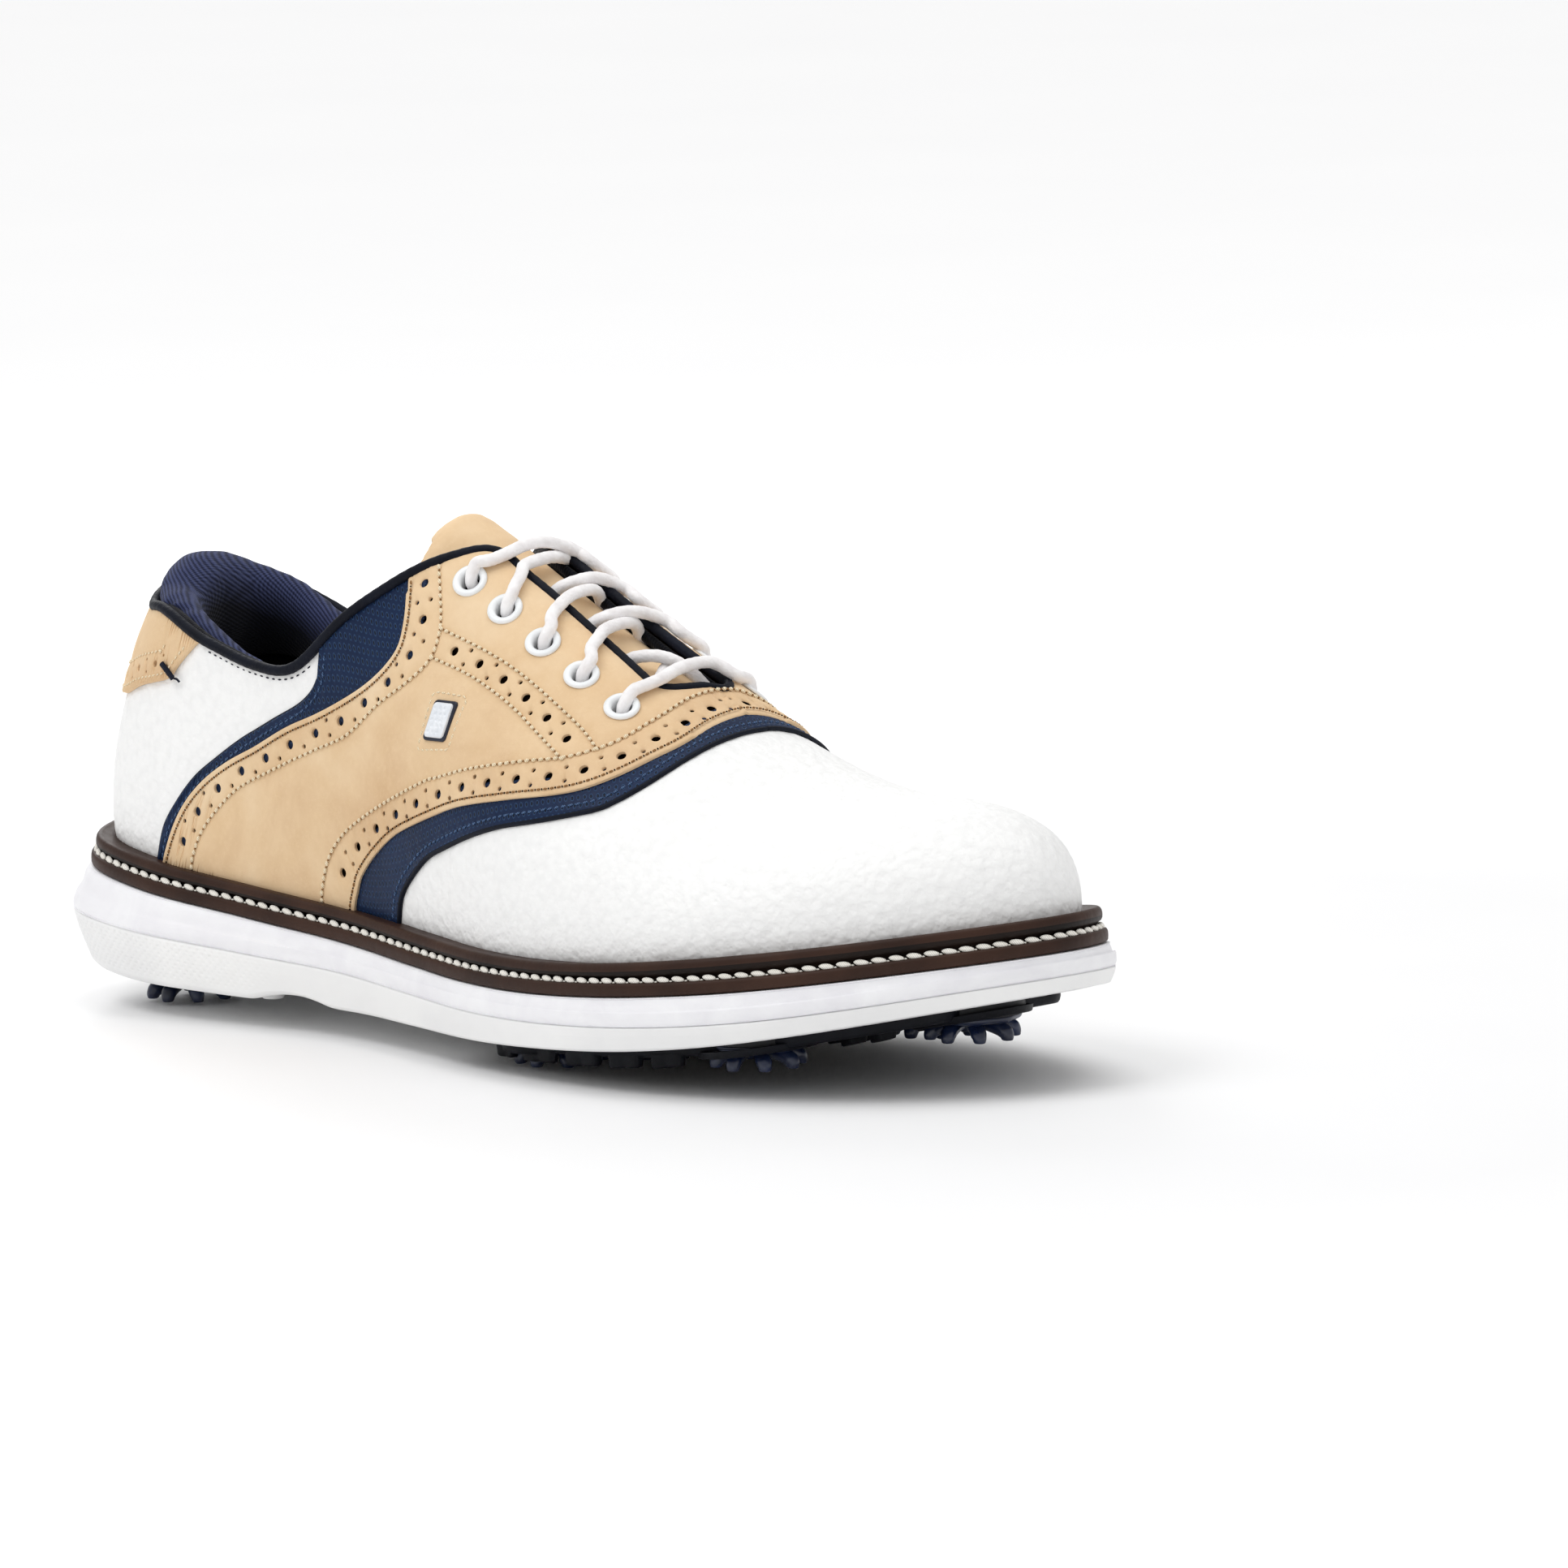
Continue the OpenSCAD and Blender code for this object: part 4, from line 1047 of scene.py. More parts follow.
def top_at(place):
    """rise of the topline at any place round the shoe"""
    return np.where(place < TOE, topline(place, LATERAL), topline(LAP - place, MEDIAL))


def top_curve(side):
    """topline from the heel to the throat"""
    place = np.linspace(0, 7.5, 301)
    curve = np.stack([place, topline(place, side)], 1)
    curve = np.concatenate([curve, spline(np.concatenate([curve[-2:], THROAT]), 6)[7:]])
    return curve if side == LATERAL else counted_back(curve)


TOP_L, TOP_M = top_curve(LATERAL), top_curve(MEDIAL)
TOP_M_BACK = below_zero(counted_back(TOP_M))
FOOT_RISE = -.012       # panels run a little way down behind the welt's lip
PANEL_PITCH = detail(1.35, 2.6)
WHITE_PITCH = detail(1.25, 2.6)


def upto(curve, other):
    """curve cut where it meets the other, and the index of that point on the other"""
    gap = np.linalg.norm((curve[:, None, :] - other[None, :, :]) * [1, 4], axis=2)
    i, j = np.unravel_index(gap.argmin(), gap.shape)
    return np.concatenate([curve[:i], other[j:j + 1]]), j


def above(curve):
    """curve made to start exactly at the foot of the panels"""
    k = np.argmax(curve[:, 1] > FOOT_RISE)
    share = (FOOT_RISE - curve[k - 1, 1]) / (curve[k, 1] - curve[k - 1, 1])
    if k > 0:
        start = curve[k - 1] + share * (curve[k] - curve[k - 1])
        return np.concatenate([[start], curve[k:]])
    if curve[0, 1] > FOOT_RISE + 1e-6:
        return np.concatenate([[[curve[0, 0], FOOT_RISE]], curve])
    return curve


def bottom(start, end):
    """foot line from the foot of one curve to the foot of another"""
    a0, a1 = start[0, 0], end[0, 0]
    n = max(int(abs(a1 - a0) * 20), 4)
    return even(np.stack([np.linspace(a0, a1, n), np.full(n, FOOT_RISE)], 1), 1.3)


def join(*segments, step=1.0):
    """closed curve from open segments at even steps; shared ends are kept once"""
    pieces = []
    for segment in segments:
        piece = even(segment, step) if len(segment) > 1 else segment
        if pieces and np.linalg.norm(flat(pieces[-1][-1]) - flat(piece[0])) < .05:
            piece = piece[1:]
        if len(piece):
            pieces.append(piece)
    curve = np.concatenate(pieces)
    flat_curve = flat(curve)
    gap = np.linalg.norm(flat_curve - np.roll(flat_curve, 1, 0), axis=1)
    return curve[gap >= .12]


def below_top(row):
    return row[row[:, 1] < np.interp(row[:, 0], TOP_L[:, 0], TOP_L[:, 1]) - .012]


def clear_of_top(curve):
    """the part of a row that lies below the topline"""
    place = np.where(curve[:, 0] < TOE, curve[:, 0], LAP - curve[:, 0])
    return curve[(place > 7.4) | (curve[:, 1] < top_at(curve[:, 0]) - .03)]


REAR_EDGE, FRONT_EDGE = above(SADDLE_REAR), above(SADDLE_FRONT)
REAR_ROW = below_top(inset(REAR_EDGE, -1.45)[2:])
FRONT_ROW = inset(FRONT_EDGE, 1.45)[2:]
SADDLE_ROWS = (REAR_ROW, FRONT_ROW, SEAM_REAR, SEAM_UPPER, SEAM_LOWER, SEAM_FRONT)
NAVY_FRONT_EDGE, NAVY_REAR_EDGE = above(NAVY_FRONT), above(NAVY_REAR)
NAVY_FRONT_ROW = inset(NAVY_FRONT_EDGE, 2.3)[2:]
NAVY_REAR_ROW = below_top(inset(NAVY_REAR_EDGE, -2.0)[2:])


def band_middle(edge, row):
    """middle of the band between a cut edge and the row of stitching inside it"""
    edge3, row3 = curve3(edge), curve3(row)
    middle = []
    for i in range(len(edge)):
        gap = np.linalg.norm(row3 - edge3[i], axis=1)
        j = gap.argmin()
        if gap[j] < 15.5 and 0 < j < len(row) - 1:
            middle.append(edge[i] * .47 + row[j] * .53)
    return even(np.array(middle), .6)


def brogue(middle, pitch, start, large=1.18, small=.60, apart=1.85, end=0):
    """(place, rise, radius) of large holes on the middle line, a pair of small between"""
    points = curve3(middle)
    run = np.concatenate([[0], np.cumsum(np.linalg.norm(points[1:] - points[:-1], axis=1))])

    def spot(s):
        return np.interp(s, run, middle[:, 0]), np.interp(s, run, middle[:, 1])

    holes = []
    at = start
    while at < run[-1] - end:
        holes.append((*spot(at), large))
        between = at + pitch / 2
        if between < run[-1] - end:
            short = np.array([spot(between - .3), spot(between), spot(between + .3)])
            holes += [(*inset(short, d)[1], small) for d in (-apart, apart)]
        at += pitch
    return holes


def saddle_holes():
    """broguing of the lateral side, with no two holes too close or on a row of stitching"""
    shares = np.linspace(0, 1, 40)
    middle = even(np.array([(SEAM_UPPER[int(f * (len(SEAM_UPPER) - 1))]
                             + SEAM_LOWER[int(f * (len(SEAM_LOWER) - 1))]) / 2
                            for f in shares]), .6)
    holes = (brogue(band_middle(REAR_EDGE, SEAM_REAR[::-1]), 9.1, 6.2)
             + brogue(band_middle(FRONT_EDGE, SEAM_FRONT[::-1]), 9.1, 6.4)
             + brogue(middle, 8.8, 6.0, end=4))
    rows = np.concatenate([curve3(r) for r in SADDLE_ROWS])
    kept = []
    for hole in holes:
        point = surface(hole[0], hole[1])
        land = all(np.linalg.norm(point - surface(k[0], k[1])) > hole[2] + k[2] + .75
                   for k in kept)
        off_rows = np.linalg.norm(rows - point, axis=1).min() > hole[2] + .42
        if land and off_rows and hole[1] < .985:
            kept.append(hole)
    return kept


# ------------------------------------------------------------------ leather panels
def row_points(rows):
    """rows whose points become vertices of a panel"""
    return detail([even(r, 1.1) for r in rows], [])


def hole_curves(holes, large_sides):
    return [wall_circle(a, t, r, detail(large_sides if r > .7 else 8, 6)) for a, t, r in holes]


def saddle():
    """one piece over both sides, joined over the ridge in front of the throat"""
    rows = tree_on(SADDLE_ROWS + tuple(medial(r) for r in SADDLE_ROWS))

    def relief(place, rise, points, rim):
        r = distances(rows, points)
        edge = 1 - np.clip((rim - .4) / 2.6, 0, 1)
        at_top = np.where((place > 5.1) & (place < LAP - 5.1) & (rise > top_at(place) - .05)
                          & (rise < .99), 1., 0.)
        return (-.30 * np.exp(-(r / .60) ** 2) + .24 * (1 - np.exp(-(r / 5.) ** 2))
                + noise(points, 16, 3) * .12 + noise(points, 5, 4) * .04
                - .55 * edge * at_top)

    rear_l, top_l = upto(REAR_EDGE, TOP_L)
    rear_m, top_m = upto(medial(REAR_EDGE), TOP_M)
    outer = join(rear_l, TOP_L[top_l:], THROAT_TIP, TOP_M[top_m:][::-1], rear_m[::-1],
                 bottom(rear_m, medial(FRONT_EDGE)), medial(FRONT_EDGE)[:-1],
                 FRONT_EDGE[::-1], bottom(FRONT_EDGE, rear_l))
    holes = saddle_holes()
    eyes = [wall_circle(a, EYELET_RISE, 3.1, 20) for a in EYELETS + [LAP - a for a in EYELETS]]
    extra = row_points(SADDLE_ROWS)
    panel("saddle_leather", outer,
          eyes + hole_curves(holes, 14)
          + hole_curves([(float(across(a)), t, r) for a, t, r in holes], 14),
          extra + [medial(r) for r in extra], PANEL_PITCH, "tan_nubuck",
          (1.72, .82), relief, edge=(.32, .55), rings=(.24, .55), rep="saddle")


def navy_relief(row):
    """groove under the row of stitching on both sides, with a soft welt beside it"""
    tree = tree_on([row, medial(row)])

    def relief(place, rise, points, rim):
        r = distances(tree, points)
        return (-.16 * np.exp(-(r / .6) ** 2) + .14 * np.exp(-((r - 1.5) / .8) ** 2)
                + noise(points, 9, 8) * .06)
    return relief


def front_underlay():
    """navy leather under the saddle's front edge, over the vamp"""
    hidden = above(inset(SADDLE_FRONT, 5.0))
    hidden[-1, 1] = 1.0
    edge = NAVY_FRONT_EDGE
    outer = join(bottom(hidden, edge), edge, medial(edge)[::-1],
                 bottom(medial(edge), medial(hidden)), medial(hidden), hidden[::-1][1:])
    row = row_points([NAVY_FRONT_ROW])
    panel("front_underlay_leather", outer, [], row + [medial(r) for r in row], PANEL_PITCH,
          "navy_perforated", (.74, .06), navy_relief(NAVY_FRONT_ROW), rep="front_underlay")


def rear_underlays():
    """navy leather behind the saddle's rear edge, over the quarter"""
    hidden = above(inset(SADDLE_REAR, -5.0))
    relief = navy_relief(NAVY_REAR_ROW)
    for on_side, side_name, top in ((lateral, "lateral", TOP_L), (medial, "medial", TOP_M)):
        front, j_front = upto(on_side(hidden), top)
        rear, j_rear = upto(on_side(NAVY_REAR_EDGE), top)
        outer = join(rear, top[j_rear:j_front + 1], front[::-1], bottom(front, rear))
        panel("rear_underlay_leather_" + side_name, outer, [],
              [on_side(r) for r in row_points([NAVY_REAR_ROW])], PANEL_PITCH,
              "navy_perforated", (.74, .06), relief, rep="rear_underlay_" + side_name)


def pebble_relief(place, rise, points, rim):
    cell = nearest_cell(points + noise(points, 4, 5)[:, None] * .5, 2.3, 20)
    low = noise(points, 34, 11) * .28 + noise(points, 12, 12) * .07
    return low + .15 * np.clip(1 - cell * 1.15, 0, 1) - .05 + noise(points, 2.6, 13) * .05


def white_panel(name, outer, rep):
    panel(name, outer, [], [], WHITE_PITCH, "white_leather", (0.0, -1.4), pebble_relief,
          edge=(.25, .5), rings=(.5,), rep=rep)


def vamp():
    hidden = above(inset(NAVY_FRONT, 4.5))
    hidden[-1, 1] = 1.0
    outer = join(hidden[::-1], bottom(hidden, medial(hidden)), medial(hidden)[:-1], step=1.2)
    white_panel("vamp_leather", outer, "vamp")


def round_heel(curve, *foot, step):
    """closed curve below the topline, from a lateral curve mirrored round the heel;
    foot(lateral, mirrored) gives further segments"""
    left, j_left = upto(curve, TOP_L)
    right = below_zero(left)
    _, j_right = upto(right, TOP_M_BACK)
    outer = join(left, TOP_L[:j_left + 1][::-1], TOP_M_BACK[:j_right + 1], right[::-1],
                 *[make(right, left) for make in foot], step=step)
    outer[:, 0] = outer[:, 0] % LAP
    return outer


def back_quarter():
    outer = round_heel(above(inset(NAVY_REAR, -4.5)), bottom, step=1.2)
    white_panel("back_quarter_leather", outer, "back_quarter")


TAB_SIDE = upto(TAB_EDGE, TOP_L)[0]
TAB_LINE = np.concatenate([below_zero(TAB_SIDE)[::-1][1:], TAB_SIDE[1:]])
TAB_ROW_LOW = inset(TAB_LINE, 1.5)[6:-6]
TAB_ROW_FULL = inset(TAB_LINE, 7.2)[12:-12]
TOP_TREE = tree_on([TOP_L, TOP_M_BACK])
TAB_ROW_HIGH = TAB_ROW_FULL[distances(TOP_TREE, curve3(TAB_ROW_FULL)) > 2.0]


def heel_tab():
    """tan leather round the heel, with its own row of holes"""
    rows = tree_on([TAB_ROW_LOW, TAB_ROW_FULL])

    def relief(place, rise, points, rim):
        r = distances(rows, points)
        top = distances(TOP_TREE, points)
        return (-.18 * np.exp(-(r / .62) ** 2) + .2 * (1 - np.exp(-(r / 4.) ** 2))
                - .55 * np.clip(1 - top / 2.6, 0, 1) + noise(points, 9, 31) * .1)

    holes = brogue(even(inset(TAB_LINE, 4.3)[10:-10], .6), 8.6, 2.0, large=.85, small=.42,
                   apart=1.5)
    holes = [h for h in holes if TOP_TREE.find(surface(h[0], h[1]))[2] > 3.0]
    panel("heel_tab_leather", round_heel(TAB_EDGE, step=1.0), hole_curves(holes, 12),
          row_points([TAB_ROW_LOW, TAB_ROW_HIGH]), PANEL_PITCH, "tan_nubuck", (1.3, .12),
          relief, edge=(.32, .55), rings=(.24, .55), rep="heel_tab")


def upper_stitching():
    """tan rows along the cut edges, cream rows inside, blue rows on the navy leather"""
    mats = ["tan_thread", "cream_thread", "blue_thread", "backing_felt"]
    # between the stitches, dark felt beads on the tan rows and tan beads on the cream rows are
    # painted shade of the needle holes
    tan, cream, blue, needle_hole_shade = range(4)
    parts = Parts()
    navy = dict(pitch=1.9, length=1.5, height=.5, slot=blue, slant=.2)
    for on_side in (lateral, medial):
        for row in SADDLE_ROWS[:2]:
            stitches(parts, clear_of_top(on_side(row)), 1.70, pitch=1.85, length=1.2,
                     width=.58, height=.5, slot=tan, slant=.12, hole=needle_hole_shade)
        for row in SADDLE_ROWS[2:]:
            stitches(parts, clear_of_top(on_side(row)), 1.80, pitch=1.9, length=1.5,
                     width=.92, height=.90, slot=cream, slant=.25, hole=tan)
        stitches(parts, on_side(NAVY_FRONT_ROW), .72, width=.55, **navy)
        stitches(parts, clear_of_top(on_side(NAVY_REAR_ROW)), .72, width=.5, **navy)
    for row, lift in ((TAB_ROW_LOW, 1.32), (TAB_ROW_HIGH, 1.36)):
        stitches(parts, row, lift, pitch=1.75, length=1.3, width=.5, height=.42, slot=cream,
                 slant=.2)
    parts.out("upper_stitching", mats, slot="white_thread")


def lining():
    """dark textile over the whole inside"""
    outer = even(np.stack([np.linspace(0, LAP, 400)[:-1], np.full(399, .004)], 1), 4.0, True)
    opening = join(TOP_L, THROAT_TIP, TOP_M[::-1], step=2.0)
    panel("lining_textile", outer, [opening], [], detail(3.2, 6), "lining_textile",
          (-2.75, -3.7), lambda place, rise, points, rim: noise(points, 14, 40) * .12,
          edge=(0, 0), rings=(), rep="lining")


def piping():
    """corded edge round the topline and throat, and the rolled lining edge inside it"""
    curve = np.concatenate([even(TOP_L, .8), THROAT_TIP, even(TOP_M, .8)[::-1][:-1]])
    curve[:, 1] = np.minimum(curve[:, 1], 1.0)
    place, rise = curve.T
    from_heel = np.where(place < TOE, place, LAP - place)
    normal = metric(place, np.minimum(rise, .995))[3]
    off = np.interp(from_heel, [0, 3.0, 3.6, 5.2, 8], [.75, .7, .25, .8, .85])
    verts, faces = tube(relax(surface(place, rise, off), 3),
                        np.interp(from_heel, [0, 4.2, 5.2, 8], [1.28, 1.28, 1.25, 1.22]),
                        n=14, closed=True, up=normal,
                        ripple=lambda i, k: .035 * np.sin(i * 1.9 + k * .9))
    add_mesh("piping_cord", verts, faces, "navy_piping", rep="topline_piping")
    verts, faces = tube(relax(surface(place, np.minimum(rise - .006, .99), -2.35), 6),
                        np.interp(from_heel, [0, 4.6, 5.6, 8], [1.75, 1.75, 1.3, 1.2]),
                        n=14, closed=True, up=normal,
                        ripple=lambda i, k: .03 * np.sin(i * 1.3 + k * .9))
    add_mesh("lining_roll", verts, faces, "lining_textile")


def quarter_stitching():
    """short row just below the cord on the quarter"""
    parts = Parts()
    curve = inset(TOP_L[TOP_L[:, 0] < 4.5], -2.1)
    curve = curve[curve[:, 0] > 3.5]
    for row in (curve, counted_back(curve)):
        stitches(parts, row, .08, pitch=2.1, length=1.2, width=.4, height=.3)
    parts.out("quarter_stitching", "navy_thread")


# ------------------------------------------------------------------ soft parts
def bake(ob, kind, **settings):
    """replace the object's mesh by the result of one modifier"""
    modifier = ob.modifiers.new(kind.lower(), kind)
    for key, value in settings.items():
        setattr(modifier, key, value)
    take_result(ob)


def take_result(ob):
    graph = bpy.context.evaluated_depsgraph_get()
    me = bpy.data.meshes.new_from_object(ob.evaluated_get(graph))
    ob.modifiers.clear()
    ob.data = me


def inflate(ob, voxel, pressure, limit, frames=20):
    """voxel remesh, cloth under pressure without gravity, its movement held to limit (m),
    then one subdivision"""
    scene = bpy.context.scene
    soft = bpy.data.objects.new("tmp_" + ob.name, ob.data.copy())
    scene.collection.objects.link(soft)
    bake(soft, "REMESH", mode="VOXEL", voxel_size=voxel, use_smooth_shade=True)
    bake(soft, "SMOOTH", factor=.5, iterations=2)
    rest = get_coords(soft)
    cloth = soft.modifiers.new("cloth", "CLOTH")
    settings = cloth.settings
    settings.use_pressure = True
    settings.uniform_pressure_force = pressure
    settings.effector_weights.gravity = 0
    settings.quality = 4
    settings.tension_stiffness = 12
    settings.compression_stiffness = 12
    settings.bending_stiffness = .4
    settings.mass = .25
    cloth.point_cache.frame_start = scene.frame_start = 1
    cloth.point_cache.frame_end = scene.frame_end = frames
    for f in range(1, frames + 1):
        scene.frame_set(f)
    take_result(soft)
    move = get_coords(soft) - rest
    length = np.linalg.norm(move, axis=1, keepdims=True)
    set_coords(soft, rest + move * np.minimum(1, limit / np.maximum(length, 1e-9)))
    scene.frame_set(1)
    levels = detail(1, 0)
    bake(soft, "SUBSURF", levels=levels, render_levels=levels)
    me = soft.data
    me.materials.clear()
    for m in ob.data.materials:
        me.materials.append(m)
    me.polygons.foreach_set("use_smooth", [True] * len(me.polygons))
    ob.data = me
    bpy.data.objects.remove(soft)


# collar tables over place, negative on the medial side for the climb
COLLAR_CLIMB = [    # height of the crest above the topline
    (-4.9, -1.5), (-4, 0), (-3.4, 2.2), (-3, 3.6), (-2.5, 5.8), (-2, 6.6), (-1.5, 7.8), (-1, 8.8),
    (-.5, 9.8), (0, 10.6), (.5, 10.6), (1, 10.3), (1.5, 10.0), (2, 8.6), (2.5, 5.2), (3, 2.2),
    (3.5, .4), (4.9, -1.5)]
COLLAR_DEPTH = [(0, .24), (1, .22), (2, .17), (3, .12), (4, .10), (4.9, .09)]   # in rise
COLLAR_THICK = [(0, 9.6), (1.2, 9.2), (2.2, 8.4), (3, 7.0), (4, 5.2), (4.9, 2.6)]


def collar_section(signed, points):
    """closed section of the collar at a signed place, and its crest"""
    top = float(topline(abs(signed), LATERAL if signed >= 0 else MEDIAL))
    climb = float(np.interp(signed, *zip(*COLLAR_CLIMB)))
    thick = (float(hermite(COLLAR_THICK, abs(signed)))
             * (1 - .30 * float(np.clip(-signed - .6, 0, 1))))
    low = top - float(hermite(COLLAR_DEPTH, abs(signed)))
    fold = float(np.clip(climb / 4.5, 0, 1))
    place = signed % LAP
    root = surface(place, top, -4.6)
    outward = surface(place, top, 0.0) - root
    outward[2] = 0
    outward = unit(outward)
    least = max(climb, -1.0)
    high = climb > 2

    def down(share, off):
        return surface(place, top - (top - low) * share, -4.6 + off)

    def over(height, off):
        return root + outward * off + np.array([0, 0, height])

    knots = [
        down(1.0, -.4), down(.75, -.05), down(.45, 0), down(.2, 0), down(.04, 0),
        over(.8 + .2 * fold if climb > 1.2 else least * .5, .5 + 1.7 * fold),
        over(max(1.8, .26 * climb) if high else least * .8, .4 + 3.9 * fold),
        over(.60 * climb if high else least, .2 + 4.3 * fold),
        over(.90 * climb if high else least + .15, 2.9 * fold),
        over(climb + .3, -thick * .26), over(.86 * climb - .3, -thick * .62),
        over(.45 * climb - 1.0, -thick * .88), down(.12, -thick * .98),
        down(.40, -thick), down(.68, -thick * .80), down(.90, -thick * .42)]
    n = len(knots)
    line = np.array([catmull(*[knots[(k + i) % n] for i in (-1, 0, 1, 2)], s)
                     for k in range(n) for s in (0, .25, .5, .75)])
    line = np.concatenate([line, line[:1]])
    run = np.concatenate([[0], np.cumsum(np.linalg.norm(np.diff(line, axis=0), axis=1))])
    at = np.linspace(0, run[-1], points + 1)[:-1]
    return (np.stack([np.interp(at, run, line[:, c]) for c in range(3)], 1),
            root + [0, 0, climb])


def collar():
    """thick roll inside the topline that folds out over the piping and climbs at the heel"""
    sections, sides = 121, 40
    rings, crest = zip(*[collar_section(a, sides) for a in np.linspace(-4.9, 4.9, sections)])
    pad = add_mesh("collar_pad", np.concatenate(rings), loft_faces(sections, sides),
                   "collar_knit", rep="collar_padding")
    fix_normals(pad)
    inflate(pad, voxel=detail(.0022, .004), pressure=4.0, limit=.0010)
    normals = np.zeros(len(pad.data.vertices) * 3, np.float32)
    pad.data.vertex_normals.foreach_get("vector", normals)
    points = shoe_coords(pad)
    wrinkle = noise(points, 17, 51) * .35 + noise(points, 7, 52) * .16
    set_coords(pad, get_coords(pad) + normals.reshape(-1, 3) * (wrinkle * MM)[:, None])
    # depth below the crest, which the knit material uses to paint shade down into the shoe
    tree = kd_tree(np.array(crest)[:, :2])
    add_attribute(pad, "depth", [crest[tree.find((x, y, 0))[1]][2] - z
                                 for x, y, z in shoe_coords(pad)])


def on_plan(x, y, off):
    """point of the last over plan position x, y"""
    x, y = np.asarray(x, float), np.asarray(y, float)
    middle = hermite(MIDDLE, x)
    place = np.where(y < middle, place_at(x, LATERAL), place_at(x, MEDIAL))
    reach = np.maximum(np.abs(y - middle), 1e-3)
    rises = np.linspace(.35, 1.0, 140)
    points = surface(place[:, None], rises)
    reaches = np.abs(points[..., 1] - hermite(MIDDLE, np.clip(points[..., 0], X_HEEL, X_TOE)))
    rise = np.array([np.interp(-r, -row, rises) for r, row in zip(reach, reaches)])
    return surface(place, rise, off)


# half outline of the tongue: x, distance from the middle line
TONGUE_HALF = [(203.5, 0), (203, 9), (201, 14), (190, 19.5), (175, 21.5), (160, 22.8),
               (148, 23.6), (140, 23.8), (132, 23.6), (123.5, 23.0), (117.2, 20.6),
               (113.6, 15.5), (112.2, 8.0), (111.9, 0)]
TONGUE_CENTRE = np.array([160., 0])


def spread_tip(points):
    """the free end of the tongue spreads and flattens"""
    points = points.copy()
    share = np.clip((131 - points[:, 0]) / 12.5, 0, 1)
    share = share * share * (3 - 2 * share)
    y = points[:, 1].copy()
    points[:, 1] = y * (1 + .22 * share)
    past = np.clip(119.5 - points[:, 0], 0, None)
    points[:, 2] += (share * (-2.3 * np.clip(1 - (y / 16) ** 2, 0, 1)
                              + .9 * np.clip(y - 5, 0, None))
                     - 1.25 * (past + .8 * np.exp(-past / .8) - .8))
    return points


def tongue_shell(name, top, under, shrink, mat, rep, edge, puff=0.0):
    """layer of the tongue between two heights. Its grid is made of nested outlines"""
    half = resample(spline(TONGUE_HALF, 10), detail(1.3, 2.6))
    rim = np.concatenate([half, (half * [1, -1])[::-1][1:-1]])
    shares = np.concatenate([np.linspace(0, .9, detail(24, 10))[1:], [.94, .97, .99, 1.0]])
    c, n = TONGUE_CENTRE, len(rim)
    plan = np.concatenate([c[None]] + [c + (rim - c) * f for f in shares])
    share = np.concatenate([[0], np.repeat(shares, n)])
    side = plan[:, 1] * (1 - shrink / 23)
    x = np.clip(c[0] + (plan[:, 0] - c[0]) * (1 - shrink / 42), 60, 257.9)
    y = hermite(MIDDLE, x) + side
    rounding = edge * (1 - (1 - np.clip(share, 0, 1) ** 6))
    swell = (puff * np.sqrt(np.clip(1 - np.abs(side) / 14.0, 0, 1))
             * np.clip((203 - x) / 14, 0, 1))
    waves = plan_noise(x, y, 22, 61) * .35 + plan_noise(x, y, 9, 62) * .12
    upper = spread_tip(on_plan(x, y, top - rounding + swell + waves))
    lower = spread_tip(on_plan(x, y, under + rounding + waves))
    sheet = [[0, 1 + k, 1 + (k + 1) % n] for k in range(n)]
    for i in range(len(shares) - 1):
        b = 1 + i * n
        d = b + n
        sheet += [[b + k, d + k, d + (k + 1) % n, b + (k + 1) % n] for k in range(n)]
    size = len(plan)
    last = size - n
    faces = sheet + [[q + size for q in f[::-1]] for f in sheet]
    faces += [[last + k, last + k + size, last + (k + 1) % n + size, last + (k + 1) % n]
              for k in range(n)]
    ob = add_mesh(name, np.concatenate([upper, lower]), faces, mat, body="tongue_flap", rep=rep)
    fix_normals(ob)
    return ob


def tongue():
    """tan leather over foam, textile behind"""
    leather = tongue_shell("tongue_leather", top=-4.9, under=-7.2, shrink=0,
                           mat="tan_nubuck", rep="tongue", edge=1.0, puff=1.1)
    inflate(leather, voxel=detail(.0017, .003), pressure=3.0, limit=.0007)
    tongue_shell("tongue_foam_pad", top=-7.4, under=-8.6, shrink=1.2, mat="foam",
                 rep="tongue_foam", edge=.4)
    tongue_shell("tongue_lining_textile", top=-8.8, under=-10.2, shrink=.5,
                 mat="lining_textile", rep="tongue_lining", edge=.5)


# ------------------------------------------------------------------ eyelets and lace
# section of an eyelet: radius, height above the last
EYELET_SECTION = [
    (4.15, 1.72), (4.3, 1.9), (4.28, 2.15), (4.05, 2.42), (3.7, 2.58), (3.3, 2.6), (2.9, 2.48),
    (2.58, 2.2), (2.42, 1.8), (2.36, 1.2), (2.36, 0), (2.36, -1.5), (3.0, -1.5), (3.0, 0),
    (3.0, 1.72)]


def on_side_of(place, side):
    return place if side == LATERAL else LAP - place


def eyelets():
    parts = Parts()
    n = detail(40, 20)
    angle = turn(n)[:, None]
    for side in (LATERAL, MEDIAL):
        for place in EYELETS:
            point, along, up, out, _ = metric(on_side_of(place, side), EYELET_RISE)
            verts = [point + out * (h - .02) + r * (np.cos(angle) * along + np.sin(angle) * up)
                     for r, h in EYELET_SECTION]
            parts.add(np.concatenate(verts), grid_faces(len(EYELET_SECTION), n, wrap=True))
    fix_normals(parts.out("eyelet_rings", "eyelet_white", rep="eyelets", sharp=50))


